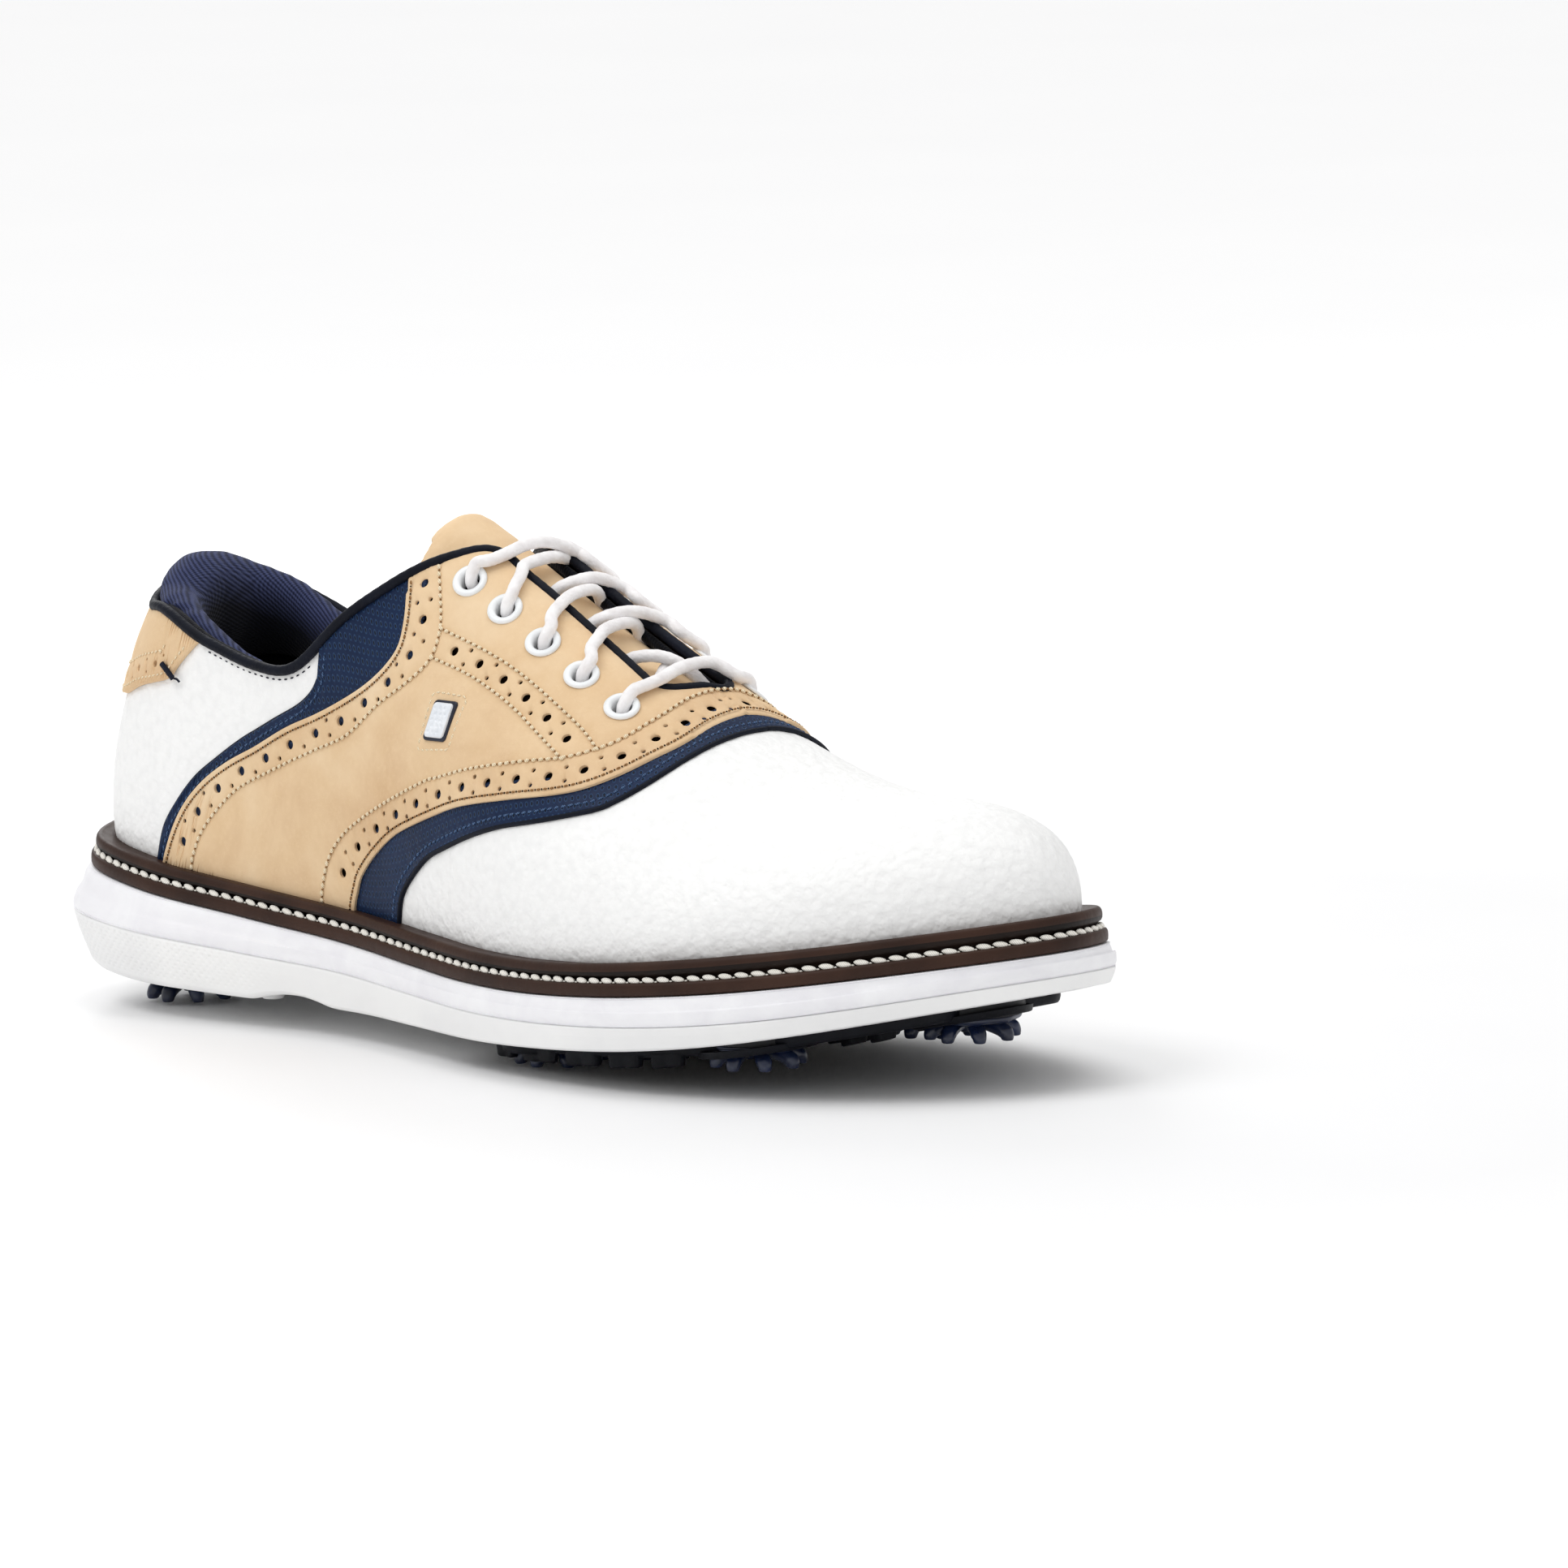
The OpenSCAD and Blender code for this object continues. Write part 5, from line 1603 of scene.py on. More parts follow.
def from_eyelet(number, side):
    """lace points from under an eyelet, through it and up the wall"""
    points = []
    for height, up in ((-5.0, 0), (-2.0, 0), (1.0, 0), (2.7, .02), (3.8, .048)):
        point, _, _, out, _ = metric(on_side_of(EYELETS[number - 1], side), EYELET_RISE + up)
        points.append(point + out * height)
    return points


def wall_points(side, *spots):
    """spots: (place counted from the heel, rise, height above the last)"""
    return [surface(on_side_of(place, side), rise, height) for place, rise, height in spots]


def plan_points(*spots):
    """spots: (x, y, height above the last)"""
    return [on_plan([x], [y], height)[0] for x, y, height in spots]


def lace_runs():
    return [
        from_eyelet(1, LATERAL) + wall_points(LATERAL, (5.95, .80, 3.8), (6.02, .865, 3.8))
        + plan_points((141.6, -5.8, 3.9), (142.3, 0, 3.3), (143.2, 6.5, 3.4))
        + wall_points(MEDIAL, (6.13, .868, 3.5), (6.19, .80, 3.8))
        + from_eyelet(2, MEDIAL)[::-1],
        from_eyelet(2, LATERAL) + wall_points(LATERAL, (6.24, .785, 4.0), (6.21, .835, 4.0))
        + plan_points((145.4, -9.5, 3.7), (144, -1.8, .9), (142.0, 4.0, -.2), (140.5, 8.5, 1.2))
        + wall_points(MEDIAL, (5.94, .862, 2.8), (5.86, .80, 3.3))
        + from_eyelet(1, MEDIAL)[::-1],
        from_eyelet(3, LATERAL) + wall_points(LATERAL, (6.62, .79, 4.0), (6.60, .848, 4.0))
        + plan_points((157.6, -6, 3.1), (154.6, 2.5, .4), (152.6, 7.5, -2.2), (151, 11.5, -5.0),
                      (149.5, 15, -6.0), (148.8, 17, -6.2)),
        from_eyelet(4, LATERAL) + wall_points(LATERAL, (7.05, .79, 4.0), (7.02, .84, 4.0))
        + plan_points((169.0, -6.8, 3.1), (166.0, 3.5, .4), (164.4, 8, -2.3), (163, 11.8, -5.1),
                      (162, 15, -6.1), (161.4, 17, -6.3)),
        from_eyelet(5, LATERAL) + wall_points(LATERAL, (7.59, .80, 3.8), (7.63, .866, 4.0))
        + plan_points((187.6, -3, 4.1), (187.1, 2.5, 3.8), (186.4, 9, 4.1))
        + wall_points(MEDIAL, (7.62, .866, 3.7), (7.57, .80, 3.8))
        + from_eyelet(5, MEDIAL)[::-1],
        from_eyelet(3, MEDIAL) + wall_points(MEDIAL, (6.62, .79, 3.7), (6.6, .85, 3.7))
        + plan_points((155.4, 10.5, 3.9), (153.8, 4.5, 3.1), (153.0, -1.5, 1.6),
                      (150.6, -6.6, -1.0), (149.4, -9.6, -4.2), (148.6, -13, -6.0),
                      (148.2, -16, -6.2)),
        from_eyelet(4, MEDIAL) + wall_points(MEDIAL, (7.06, .79, 3.7), (7.03, .85, 3.7))
        + plan_points((168.4, 11, 4.0), (166.4, 4.5, 3.2), (164.4, -2.0, 1.5),
                      (162.2, -6.6, -1.0), (160.7, -9.8, -4.2), (159.8, -13, -6.0),
                      (159.2, -16, -6.2)),
        plan_points((190, 17, -6.3), (188.6, 13.5, -5.6), (186.4, 9.5, -3.2), (183.2, 4.5, .2),
                    (180.3, .4, 1.7), (177.4, -3, .9), (174.2, -6.6, -1.1), (172.3, -9.8, -4.3),
                    (171.2, -13, -6.1), (170.6, -16, -6.3)),
        plan_points((188.0, -15, -6.3), (187, -11.5, -5.2), (184.8, -7.5, -2.6),
                    (181.6, -3, -1.6), (178.8, 2, -1.7), (176, 7.5, -2.6), (174, 12, -5.4),
                    (172.8, 16, -6.3))]


def lace():
    parts = Parts()
    sides = detail(20, 8)

    def braid(i, k):
        """two families of strands crossing round the cord"""
        around = k * 2 * math.pi / sides * 4
        return .105 * (np.abs(np.sin(i * .40 + around)) + np.abs(np.sin(i * .40 - around))) - .13

    for run, knots in enumerate(lace_runs()):
        line = spline(np.array(knots), 14)
        for _ in range(42):
            line[1:-1] = line[1:-1] * .5 + (line[2:] + line[:-2]) * .25
        line = resample(line, detail(.34, 1.2))
        index = np.arange(len(line))
        sway = np.stack([noise(line, 11, 70 + run), noise(line, 11, 90 + run),
                         noise(line, 9, 110 + run)], 1)
        line = line + sway * .22 * np.clip(np.minimum(index, index[::-1])[:, None] / 25, 0, 1)
        radius = 1.46 + noise(line, 6, 130 + run) * .07
        parts.add(*tube(line, radius, n=sides, ripple=detail(braid, None)))
    parts.out("lace_cord", "lace_white", rep="lace")


# ------------------------------------------------------------------ side emblem
EMBLEM_SPOT = (6.03, .405)
EMBLEM_LIFT = 1.72
EMBLEM_SLANT = .16
DIMPLES = [(i * 1.62 + (j % 2) * .81 - .4, j * 1.42, .62)      # x, y, radius
           for j in (-2, -1, 0, 1, 2) for i in (-1, 0, 1)]


def rounded_rect(centre_x, centre_y, radius):
    """closed plan line round four corner arcs with the given centres"""
    line = []
    for sx, sy, start in ((1, 1, 0), (-1, 1, 90), (-1, -1, 180), (1, -1, 270)):
        for k in range(7):
            angle = math.radians(start + 90 * k / 6)
            line.append((sx * centre_x + radius * math.cos(angle),
                         sy * centre_y + radius * math.sin(angle)))
    return np.array(line)


def emblem():
    """slanted tile with golf-ball dimples on a dark base, and stitches round it"""
    point, along, up, out, to_curve = metric(*EMBLEM_SPOT)
    rising = unit(np.array([0, 0, 1.]) - out * out[2])
    level = np.cross(rising, out)
    parts = Parts()

    def tile(half_x, half_y, low, high, corner, bevel, slot, dimples=()):
        def stand(x, y, height):
            return (point + level * (x + EMBLEM_SLANT * y) + rising * y
                    + out * (EMBLEM_LIFT + height))

        rim = rounded_rect(half_x - corner, half_y - corner, corner)
        n = len(rim)
        levels = ((1.0, low), (1.0, high - bevel), (1 - .3 * bevel / half_x, high - bevel * .3),
                  (1 - bevel / half_x, high))
        verts = [stand(x, y, h) for f, h in levels for x, y in rim * f]
        faces = grid_faces(4, n)
        top = rim * levels[-1][0]
        extra = np.zeros((0, 2))
        if dimples:
            extra = np.array([q for x, y, r in dimples for q in
                              [(x + r * f * math.cos(a), y + r * f * math.sin(a))
                               for a in turn(12) for f in (1., .66, .33)] + [(x, y)]])
            extra = extra[inside(extra, [top * .97])]
        plan, tris, source = tri_region([top], extra, .55)
        height = np.full(len(plan), high)
        for x, y, r in dimples:
            q = np.hypot(plan[:, 0] - x, plan[:, 1] - y) / r
            height = np.where(q < 1, high - .28 * (1 - q * q), height)
        index = [3 * n + int(s) if 0 <= s < n else len(verts) + i for i, s in enumerate(source)]
        verts += [stand(x, y, h) for (x, y), h in zip(plan, height)]
        faces += [[index[q] for q in t] for t in tris]
        faces.append(list(range(n))[::-1])
        parts.add(*compact(np.array(verts), faces), slot)

    tile(half_x=3.9, half_y=4.9, low=-.35, high=.75, corner=1.1, bevel=.28, slot=1)
    tile(half_x=3.2, half_y=4.2, low=.6, high=1.35, corner=.95, bevel=.32, slot=0,
         dimples=DIMPLES)
    parts.out("side_emblem_tile", ["emblem_white", "emblem_navy"], rep="side_emblem",
              slot="emblem", sharp=30)

    parts = Parts()
    line = rounded_rect(4.6, 5.4, 1.2)
    line[:, 0] += EMBLEM_SLANT * line[:, 1]
    line = resample(line, 1.75, closed=True)
    for (x, y), step in zip(line, np.roll(line, -1, 0) - np.roll(line, 1, 0)):
        move = level * x + rising * y
        spot = EMBLEM_SPOT + to_curve @ np.array([move @ along, move @ up])
        bead(parts, surface(*spot, 1.95), level * step[0] + rising * step[1], out,
             length=1.45, width=.55, height=.5)
    parts.out("emblem_stitching", "cream_thread", slot="white_thread")


def bartacks():
    """tacks at the ends of the heel tab's lower edge"""
    parts = Parts()
    for side in (LATERAL, MEDIAL):
        point, along, up, out, _ = metric(on_side_of(3.07, side), .335)
        axis = along * -side * .55 - up * .83
        cross = np.cross(out, axis)
        for k in range(-7, 8):
            bead(parts, point + out * 1.62 + axis * k * .42, cross + axis * .25, out,
                 length=1.9, width=.5, height=.75, sides=6)
        tail = np.array([point + out * 1.3 + axis * 3.1,
                         point + out * 1.1 + axis * 3.9 + cross * .4,
                         point + out * .7 + axis * 4.8 + cross * .2])
        parts.add(*tube(resample(spline(tail, 6), .3), .28, n=6))
    parts.out("bartack_thread", "navy_thread", rep="bartacks")


def folded_edges():
    """folded dark edges of the navy leather"""
    parts = Parts()
    edge = NAVY_FRONT_EDGE
    for on_side in (lateral, medial):
        for curve, top, lift, radius in ((edge, .985, .241, .62),
                                         (NAVY_REAR_EDGE, .33, .1475, .4)):
            curve = even(on_side(curve[curve[:, 1] < top]), detail(1.0, 3))
            curve[:, 1] = np.minimum(curve[:, 1], .995)
            normal = metric(curve[:, 0], curve[:, 1])[3]
            parts.add(*tube(curve3(curve, lift), radius, n=10, up=normal))
    bridge = np.array([edge[-6], edge[-1], medial(edge[-1:])[0], medial(edge[-6:-5])[0]])
    bridge[:, 1] = np.minimum(bridge[:, 1], 1.0)
    parts.add(*tube(resample(spline(curve3(bridge, .24), 10), .8), .6, n=10))
    parts.out("folded_edges", "navy_edge", slot="navy_piping")


# ------------------------------------------------------------------ sole
def stations(step, low=0.0, high=float(LAP)):
    """places at even steps along the outline"""
    place = np.linspace(low, high, int((high - low) * 200) + 1)
    points = outline(place % LAP)
    run = np.concatenate([[0], np.cumsum(np.linalg.norm(points[1:] - points[:-1], axis=1))])
    n = max(int(round(run[-1] / step)), 4)
    return np.interp(np.linspace(0, run[-1], n + 1), run, place)


SOLE = stations(detail(1.3, 4))[:-1]        # places of the welt and the midsole
SOLE_X, SOLE_Y = outline(SOLE).T
N_SOLE = len(SOLE)

# welt section: offset from the outline, height above the seat. Lower rib, groove, upper lip
WELT = [
    (-9, .16), (-5, .16), (-1.0, .16), (-.5, .2), (-.16, .42), (-.02, .8), (.0, 1.5),
    (-.04, 2.2), (-.16, 2.75), (-.42, 3.12), (-.85, 3.26), (-1.5, 3.2), (-2.15, 3.1), (-2.6, 3.3),
    (-2.75, 3.7), (-2.6, 4.2), (-2.1, 4.5), (-1.6, 4.62), (-1.34, 4.85), (-1.28, 5.4), (-1.34, 6.0),
    (-1.5, 6.6), (-1.8, 7.05), (-2.25, 7.28), (-2.9, 7.32), (-4.2, 7.15), (-9, 7.15)]
# rows of the groove behind the lower rib, which take the near-black welt material: painted shade in
# the groove
WELT_GROOVE_SHADE_ROWS = range(11, 19)


def welt():
    rim_x = ring(SOLE, FEATHER)[:, 0]
    rows = []
    for off, z in WELT:
        inward = np.clip((-off - 2.4) / 1.8, 0, 1)      # rows far inside follow the lower rim
        seat = hermite(SEAT, SOLE_X * (1 - inward) + rim_x * inward)
        lift = (.95 * np.clip((SOLE_X - 190) / 60, 0, 1) * np.clip((z - 4.3) / .6, 0, 1)
                * (off > -4))
        wave = noise(np.stack([SOLE_X, SOLE_Y, np.full(N_SOLE, z * 3)], 1), 14, 201)
        wave = wave * (.12 if .3 < z < 7 and off > -3.5 else 0)
        rows.append(ring3(SOLE, off + wave, seat + z + lift))
    faces = grid_faces(len(WELT), N_SOLE, wrap=True)
    # the groove rows get the near-black material, painted shade
    slots = [int(f[0] // N_SOLE in WELT_GROOVE_SHADE_ROWS) for f in faces]
    fix_normals(add_mesh("welt_band", np.concatenate(rows), faces, ["welt_brown", "welt_groove_shade"],
                         rep="welt", slot="welt_brown", face_slots=slots))


def welt_stitches():
    """slanted stitches in the groove, each with a bead where the thread dives in"""
    parts = Parts()
    places = stations(4.05)[:-1]
    ahead = places + 1e-2
    plan, normals = ring(places, -1.45), outline_normal(places)
    z = hermite(SEAT, outline(places)[:, 0])
    tangents = np.column_stack([ring(ahead, -1.45) - plan,
                                hermite(SEAT, outline(ahead)[:, 0]) - z])
    for i in range(len(places)):
        tangent = unit(tangents[i])
        normal = unit(np.array([*normals[i], .75]))
        axis = tangent * math.cos(.20) - np.cross(normal, tangent) * math.sin(.20)
        bead(parts, np.array([*plan[i], z[i] + 3.72]), axis, normal, length=3.75, width=1.5,
             height=1.25, sides=detail(10, 6), rings=detail(9, 4))
        dive = np.array([*plan[i], z[i] + 3.35]) + tangent * 2.03 - normal * .1
        bead(parts, dive, tangent, normal, length=.9, width=.62, height=.5, sides=6)
    parts.out("welt_lock_stitches", "white_thread", rep="welt_stitching")


# midsole section: share of the flare, offset, height share from split to seat, added height
MIDSOLE = [(1, -9.4, 0, .1), (1, -.6, 0, .09), (1, -.22, 0, .2), (1, .04, 0, .75),
           (.93, .26, 0, 1.7), (.75, .34, 0, 3.4), (.52, .30, .5, 0), (.3, .2, 1, -2.0),
           (.08, .22, 1, -.85), (0, .12, 1, -.36), (0, -.4, 1, -.08), (0, -9.3, 1, -.08)]


def midsole():
    """foam that swells between welt and outsole, with faint lengthwise creases"""
    flare, split, seat = hermite(FLARE, SOLE_X), hermite(SPLIT, SOLE_X), hermite(SEAT, SOLE_X)
    section = spline(MIDSOLE, detail(4, 2))
    rows = []
    for share, off, up, lift in section:
        z = split * (1 - up) + seat * up + lift
        level = (z - split) / (seat - split)
        crease = (noise(np.stack([SOLE_X * .16, SOLE_Y * .16, z * 1.0], 1), 2.1, 211) * .20
                  + noise(np.stack([SOLE_X * .5, SOLE_Y * .5, z * 1.3], 1), 1.7, 212) * .07)
        crease = (crease * np.clip(level / .2, 0, 1) * np.clip((1 - level) / .25, 0, 1)
                  * (off > -1))
        rows.append(ring3(SOLE, share * flare + off + crease, z))
    verts, faces = np.concatenate(rows), grid_faces(len(section), N_SOLE)
    rim = np.arange(N_SOLE)
    verts, _ = plan_cap(verts, faces, rim, lambda x, y: hermite(SPLIT, x) + .1, 6.0, flip=True)
    verts, _ = plan_cap(verts, faces, rim + (len(section) - 1) * N_SOLE,
                        lambda x, y: hermite(SEAT, x) - .08, 6.0)
    fix_normals(add_mesh("midsole_foam_block", *compact(verts, faces), "midsole_foam",
                         rep="midsole", sharp=50))


DIMPLE_PITCH = 2.35     # pin dimples round the heel, along the wall
DIMPLE_ROW = .97        # and between their rows
HEEL_FIELD = 4.6        # place at which the dimple field ends
SOCKETS = [cleat[1:] for cleat in CLEATS]
POCKET_R, WIDE_POCKET_R, SOCKET_FLOOR_R = 7.9, 12.3, 4.0


def waist_bottom(x):
    """underside of the outsole: the tread line with the waist cut away by an arc"""
    x = np.asarray(x, float)
    arc = 41.5 ** 2 - (x - 90) ** 2
    tread = hermite(TREAD, x)
    cut = -33 + np.sqrt(np.maximum(arc, 0)) - tread
    return (tread + np.log1p(np.exp(np.clip(cut / .35, -30, 30))) * .35 * (arc > 0)
            * np.clip(cut + 4, 0, 1))


def outsole_places():
    heel = stations(DIMPLE_PITCH / 8, 0, HEEL_FIELD)[:-1]
    front = stations(1.3, HEEL_FIELD, LAP - HEEL_FIELD)
    return np.concatenate([heel, front, LAP - heel[::-1][:-1]])


def outsole_wall(places, levels):
    """rows of the wall: rounded bottom edge, then a straight flank out to the split line"""
    plan = outline(places)
    x = plan[:, 0]
    flare, low, split = hermite(FLARE, x), waist_bottom(x), hermite(SPLIT, x)
    run = np.concatenate([[0], np.cumsum(np.linalg.norm(plan[1:] - plan[:-1], axis=1))])
    around = run[-1] + np.linalg.norm(plan[0] - plan[-1])
    run = np.where(places < TOE, run, run - around)
    heel = np.clip((4.45 - np.minimum(places, LAP - places)) / .9, 0, 1)
    rows = []
    for s in levels:
        share = np.interp(s, [0, .06, .12, .62, .92, 1], [.08, .1, .17, .75, 1, 1])
        off = np.interp(s, [0, .03, .07, .12, .95, .985, 1],
                        [-1.6, -.75, -.25, 0, 0, -.1, -.35])
        z = low + .02 + (split - low - .05) * s
        height = z - low
        dimple = 0
        level = (split - 1.25 - z) / DIMPLE_ROW
        row = np.round(level)
        phase = run / DIMPLE_PITCH + (row % 2) * .5
        distance = np.sqrt(((phase - np.round(phase)) * DIMPLE_PITCH) ** 2
                           + ((level - row) * DIMPLE_ROW) ** 2)
        dimple = (-.30 * np.clip(1 - (distance / .44) ** 2, 0, 1) ** 1.2
                  * ((level > -.5) & (height > 1.5)) * heel
                  * np.clip((height - 1.5) / 1.5, 0, 1))
        wave = noise(np.stack([x, plan[:, 1], z], 1), 22, 221) * .12
        wave = wave * np.clip(s * 8, 0, 1) * np.clip((1 - s) * 8, 0, 1)
        rows.append(ring3(places, share * flare + off + dimple + wave, z))
    return np.concatenate(rows)


def stud(parts, poly, top, low, bevel, draft):
    """solid from a plan polygon: top(x) gives its upper face, low its rounded bottom"""
    poly = np.asarray(poly, float)
    centre = poly.mean(0)
    reach = np.linalg.norm(poly - centre, axis=1, keepdims=True)
    high = top(poly[:, 0])
    low = low(poly[:, 0]) if callable(low) else np.full(len(poly), float(low))

    def level(shrink, z):
        return np.column_stack([centre + (poly - centre) * (1 - shrink / reach), z])

    levels = [level(shrink, high * (1 - share) + (low + bevel) * share)
              for shrink, share in ((0, 0), (draft, .5), (draft * 1.6, 1))]
    for angle in (math.radians(30), math.radians(60), math.radians(90)):
        levels.append(level(draft * 1.6 + bevel * (1 - math.cos(angle)),
                            low + bevel * (1 - math.sin(angle))))
    parts.add(np.concatenate(levels), loft_faces(len(levels), len(poly)))


HEEL_LUGS = [       # x, y, radius
    (52, -24, 3.4), (53, 21, 3.4), (64, -12, 3.6), (64, 9, 3.6), (50, 0, 3.8), (12, -8, 2.8),
    (12, 8, 2.8), (71, -27, 3.2), (71, 22, 3.2)]


def outsole():
    """white rubber with sockets for the cleats, pads under the heel cleats and low lugs"""
    places = outsole_places()
    n = len(places)
    levels = np.concatenate([[0, .012, .03, .055], np.linspace(.085, .965, detail(56, 10)),
                             [.978, .99, 1.0]])
    verts, faces = outsole_wall(places, levels), grid_faces(len(levels), n)
    pockets = []
    for x, y, z in SOCKETS:
        narrow = z < hermite(TREAD, x - 12) - .1 or x < 60
        pockets.append(plan_circle(x, y, POCKET_R if narrow else WIDE_POCKET_R, detail(32, 14)))
    verts, rims = plan_cap(verts, faces, np.arange(n), lambda x, y: waist_bottom(x),
                           detail(2.6, 7), holes=pockets, flip=True)
    for (x, y, z), rim in zip(SOCKETS, rims):
        roof = min(z + 6.6, float(hermite(SPLIT, x)) - .3)
        rim_r = np.linalg.norm(verts[rim[0]][:2] - [x, y])
        steps = [(POCKET_R, roof), (SOCKET_FLOOR_R, roof)]
        if rim_r > 10:
            steps = [(rim_r, z), (POCKET_R, z + .01)] + steps
        m = len(rim)
        angles = [math.atan2(verts[q][1] - y, verts[q][0] - x) for q in rim]
        for r, height in steps:
            start = len(verts)
            verts = np.concatenate([verts, [[x + r * math.cos(a), y + r * math.sin(a), height]
                                            for a in angles]])
            after = list(range(start, start + m))
            faces += [[rim[i], rim[(i + 1) % m], after[(i + 1) % m], after[i]]
                      for i in range(m)]
            rim = after
        faces.append(rim)
    verts, _ = plan_cap(verts, faces, np.arange((len(levels) - 1) * n, len(levels) * n),
                        lambda x, y: hermite(SPLIT, x) - .03, 6.0)
    parts = Parts()
    parts.add(*compact(verts, faces))
    for x, y, z in SOCKETS[:2]:
        stud(parts, plan_circle(x, y, 12.9, detail(48, 16)), lambda x: waist_bottom(x) + 1.2,
             z + .05, bevel=.5, draft=.2)
    for x, y, r in HEEL_LUGS:
        stud(parts, plan_circle(x, y, r, detail(24, 8)), lambda x: waist_bottom(x) + .6,
             float(hermite(TREAD, x)) - 1.7, bevel=.5, draft=.35)
    ob = parts.out("outsole_rubber", "outsole_white", rep="outsole", sharp=48)
    fix_normals(ob)
    # distance inside the dark field of the forefoot, negative outside
    limit = ring(np.linspace(0, LAP, 521)[:-1], -5.5)
    points = shoe_coords(ob)
    depth = (distances(kd_tree(limit), points[:, :2])
             * np.where(inside(points[:, :2], [limit]), 1, -1))
    add_attribute(ob, "tread", np.minimum(depth, points[:, 0] - 152.))


# ------------------------------------------------------------------ traction plate
PLATE_OFFSET = -9.6
RAILS = [       # start and end place, inner offset, depth below the tread line
    (6.72, 7.02, -12.6, 4.9), (7.10, 7.62, -12.2, 4.9), (7.70, 8.2, -12.6, 4.9),
    (8.28, 8.78, -12.6, 4.9), (8.86, 9.30, -12.6, 4.9), (16.5, 16.95, -13.0, 4.6),
    (17.05, 17.5, -13.0, 4.6), (17.6, 18.1, -13.0, 4.6), (18.2, 18.65, -13.0, 4.6),
    (18.75, 19.2, -13.0, 4.6)]
# collar round a cleat pocket: radius, height
POCKET_COLLAR = [(12.4, 0), (12.35, -.9), (12.55, -1.25), (13.0, -1.35), (13.5, -1.2),
                 (13.8, -.8), (14.0, 0)]


def plate_bottom(x):
    return hermite(TREAD, x) - 2.55


def lug_top(x):
    return plate_bottom(x) + .8


def below_tread(depth):
    return lambda x: np.maximum(hermite(TREAD, x) - depth, 1.0)


def plate_outline():
    places = np.linspace(0, LAP, 2601)[:-1]
    rim = ring(places, PLATE_OFFSET)
    rim = rim[(rim[:, 0] > 153) & (rim[:, 0] < 277.5) & (places != TOE)]
    return relax(resample(rim, detail(1.6, 5), closed=True), 6)


def plate_slab(rim):
    """the plate itself, with the pockets that lie wholly inside it cut through"""
    n = len(rim)
    inward = unit(np.array([215., 0.]) - rim)
    levels = []
    for inset_by, share in ((0, 0), (0, .35), (.25, .75), (.7, .96), (1.2, 1.0)):
        plan = rim + inward * inset_by
        top, low = hermite(TREAD, plan[:, 0]) - .1, plate_bottom(plan[:, 0])
        levels.append(np.column_stack([plan, top * (1 - share) + low * share]))
    bottom_rim = levels[-1][:, :2]
    pockets = []
    for x, y, _ in SOCKETS[2:]:
        pocket = plan_circle(x, y, 12.35, detail(44, 14))
        gap = np.linalg.norm(bottom_rim[:, None] - pocket[None], axis=2).min()
        if inside(pocket, [bottom_rim]).all() and gap > .5:
            pockets.append(pocket)
    verts, faces = np.concatenate(levels), grid_faces(5, n)
    verts, lower = plan_cap(verts, faces, np.arange(4 * n, 5 * n),
                            lambda x, y: plate_bottom(x) + .18 * plan_noise(x, y, 5, 231),
                            detail(2.0, 8), holes=pockets, flip=True)
    verts, upper = plan_cap(verts, faces, np.arange(n), lambda x, y: hermite(TREAD, x) - .1,
                            5.0, holes=pockets)
    for low, high in zip(lower, upper):
        m = len(low)
        faces += [[low[i], low[(i + 1) % m], high[(i + 1) % m], high[i]] for i in range(m)]
    return compact(verts, faces)


def traction_plate():
    """dark forefoot insert: rails of long lugs at the sides, wedges between the cleats"""
    rim = plate_outline()
    parts = Parts()
    parts.add(*plate_slab(rim))
    for start, end, inner, depth in RAILS:
        places = np.linspace(start, end, 14)
        poly = np.concatenate([ring(places, -9.8), ring(places[::-1], inner)])
        stud(parts, relax(poly, 2), lug_top, below_tread(depth), bevel=.6, draft=.35)
    half = 3.1
    wedge = np.array([(-half, -half * .7), (half * .6, -half), (half, half * .5),
                      (-half * .4, half)])
    cleats = np.array(SOCKETS[2:])[:, :2]
    for lug_x in np.arange(160, 276, 9.5):
        for j, lug_y in enumerate(np.arange(-36, 44, 9.8)):
            centre = np.array([lug_x + (j % 2) * 4.6, lug_y + 1.5])
            if (np.linalg.norm(cleats - centre, axis=1).min() <= 17.2
                    or not inside(centre[None], [rim])[0]
                    or np.linalg.norm(rim - centre, axis=1).min() < 7.6):
                continue
            poly = wedge + centre
            poly = spline(np.concatenate([poly, poly[:1]]), 6)[:-1]
            stud(parts, resample(poly, .9, closed=True), lug_top, below_tread(4.4), bevel=.45,
                 draft=.4)
    for x, y, _ in SOCKETS[2:]:
        rows = []
        for r, dz in POCKET_COLLAR:
            plan = plan_circle(x, y, r, 48)
            z = hermite(TREAD, plan[:, 0]) - 2.5
            z = z + .9 if dz == 0 else np.minimum(
                z + dz * .6, hermite(TREAD, x) - 2.5 + dz * .8 + 3)
            rows.append(np.column_stack([plan, z]))
        parts.add(np.concatenate(rows), grid_faces(len(POCKET_COLLAR), 48, wrap=True))
    fix_normals(parts.out("traction_insert", "tread_navy", rep="traction_plate", sharp=45))


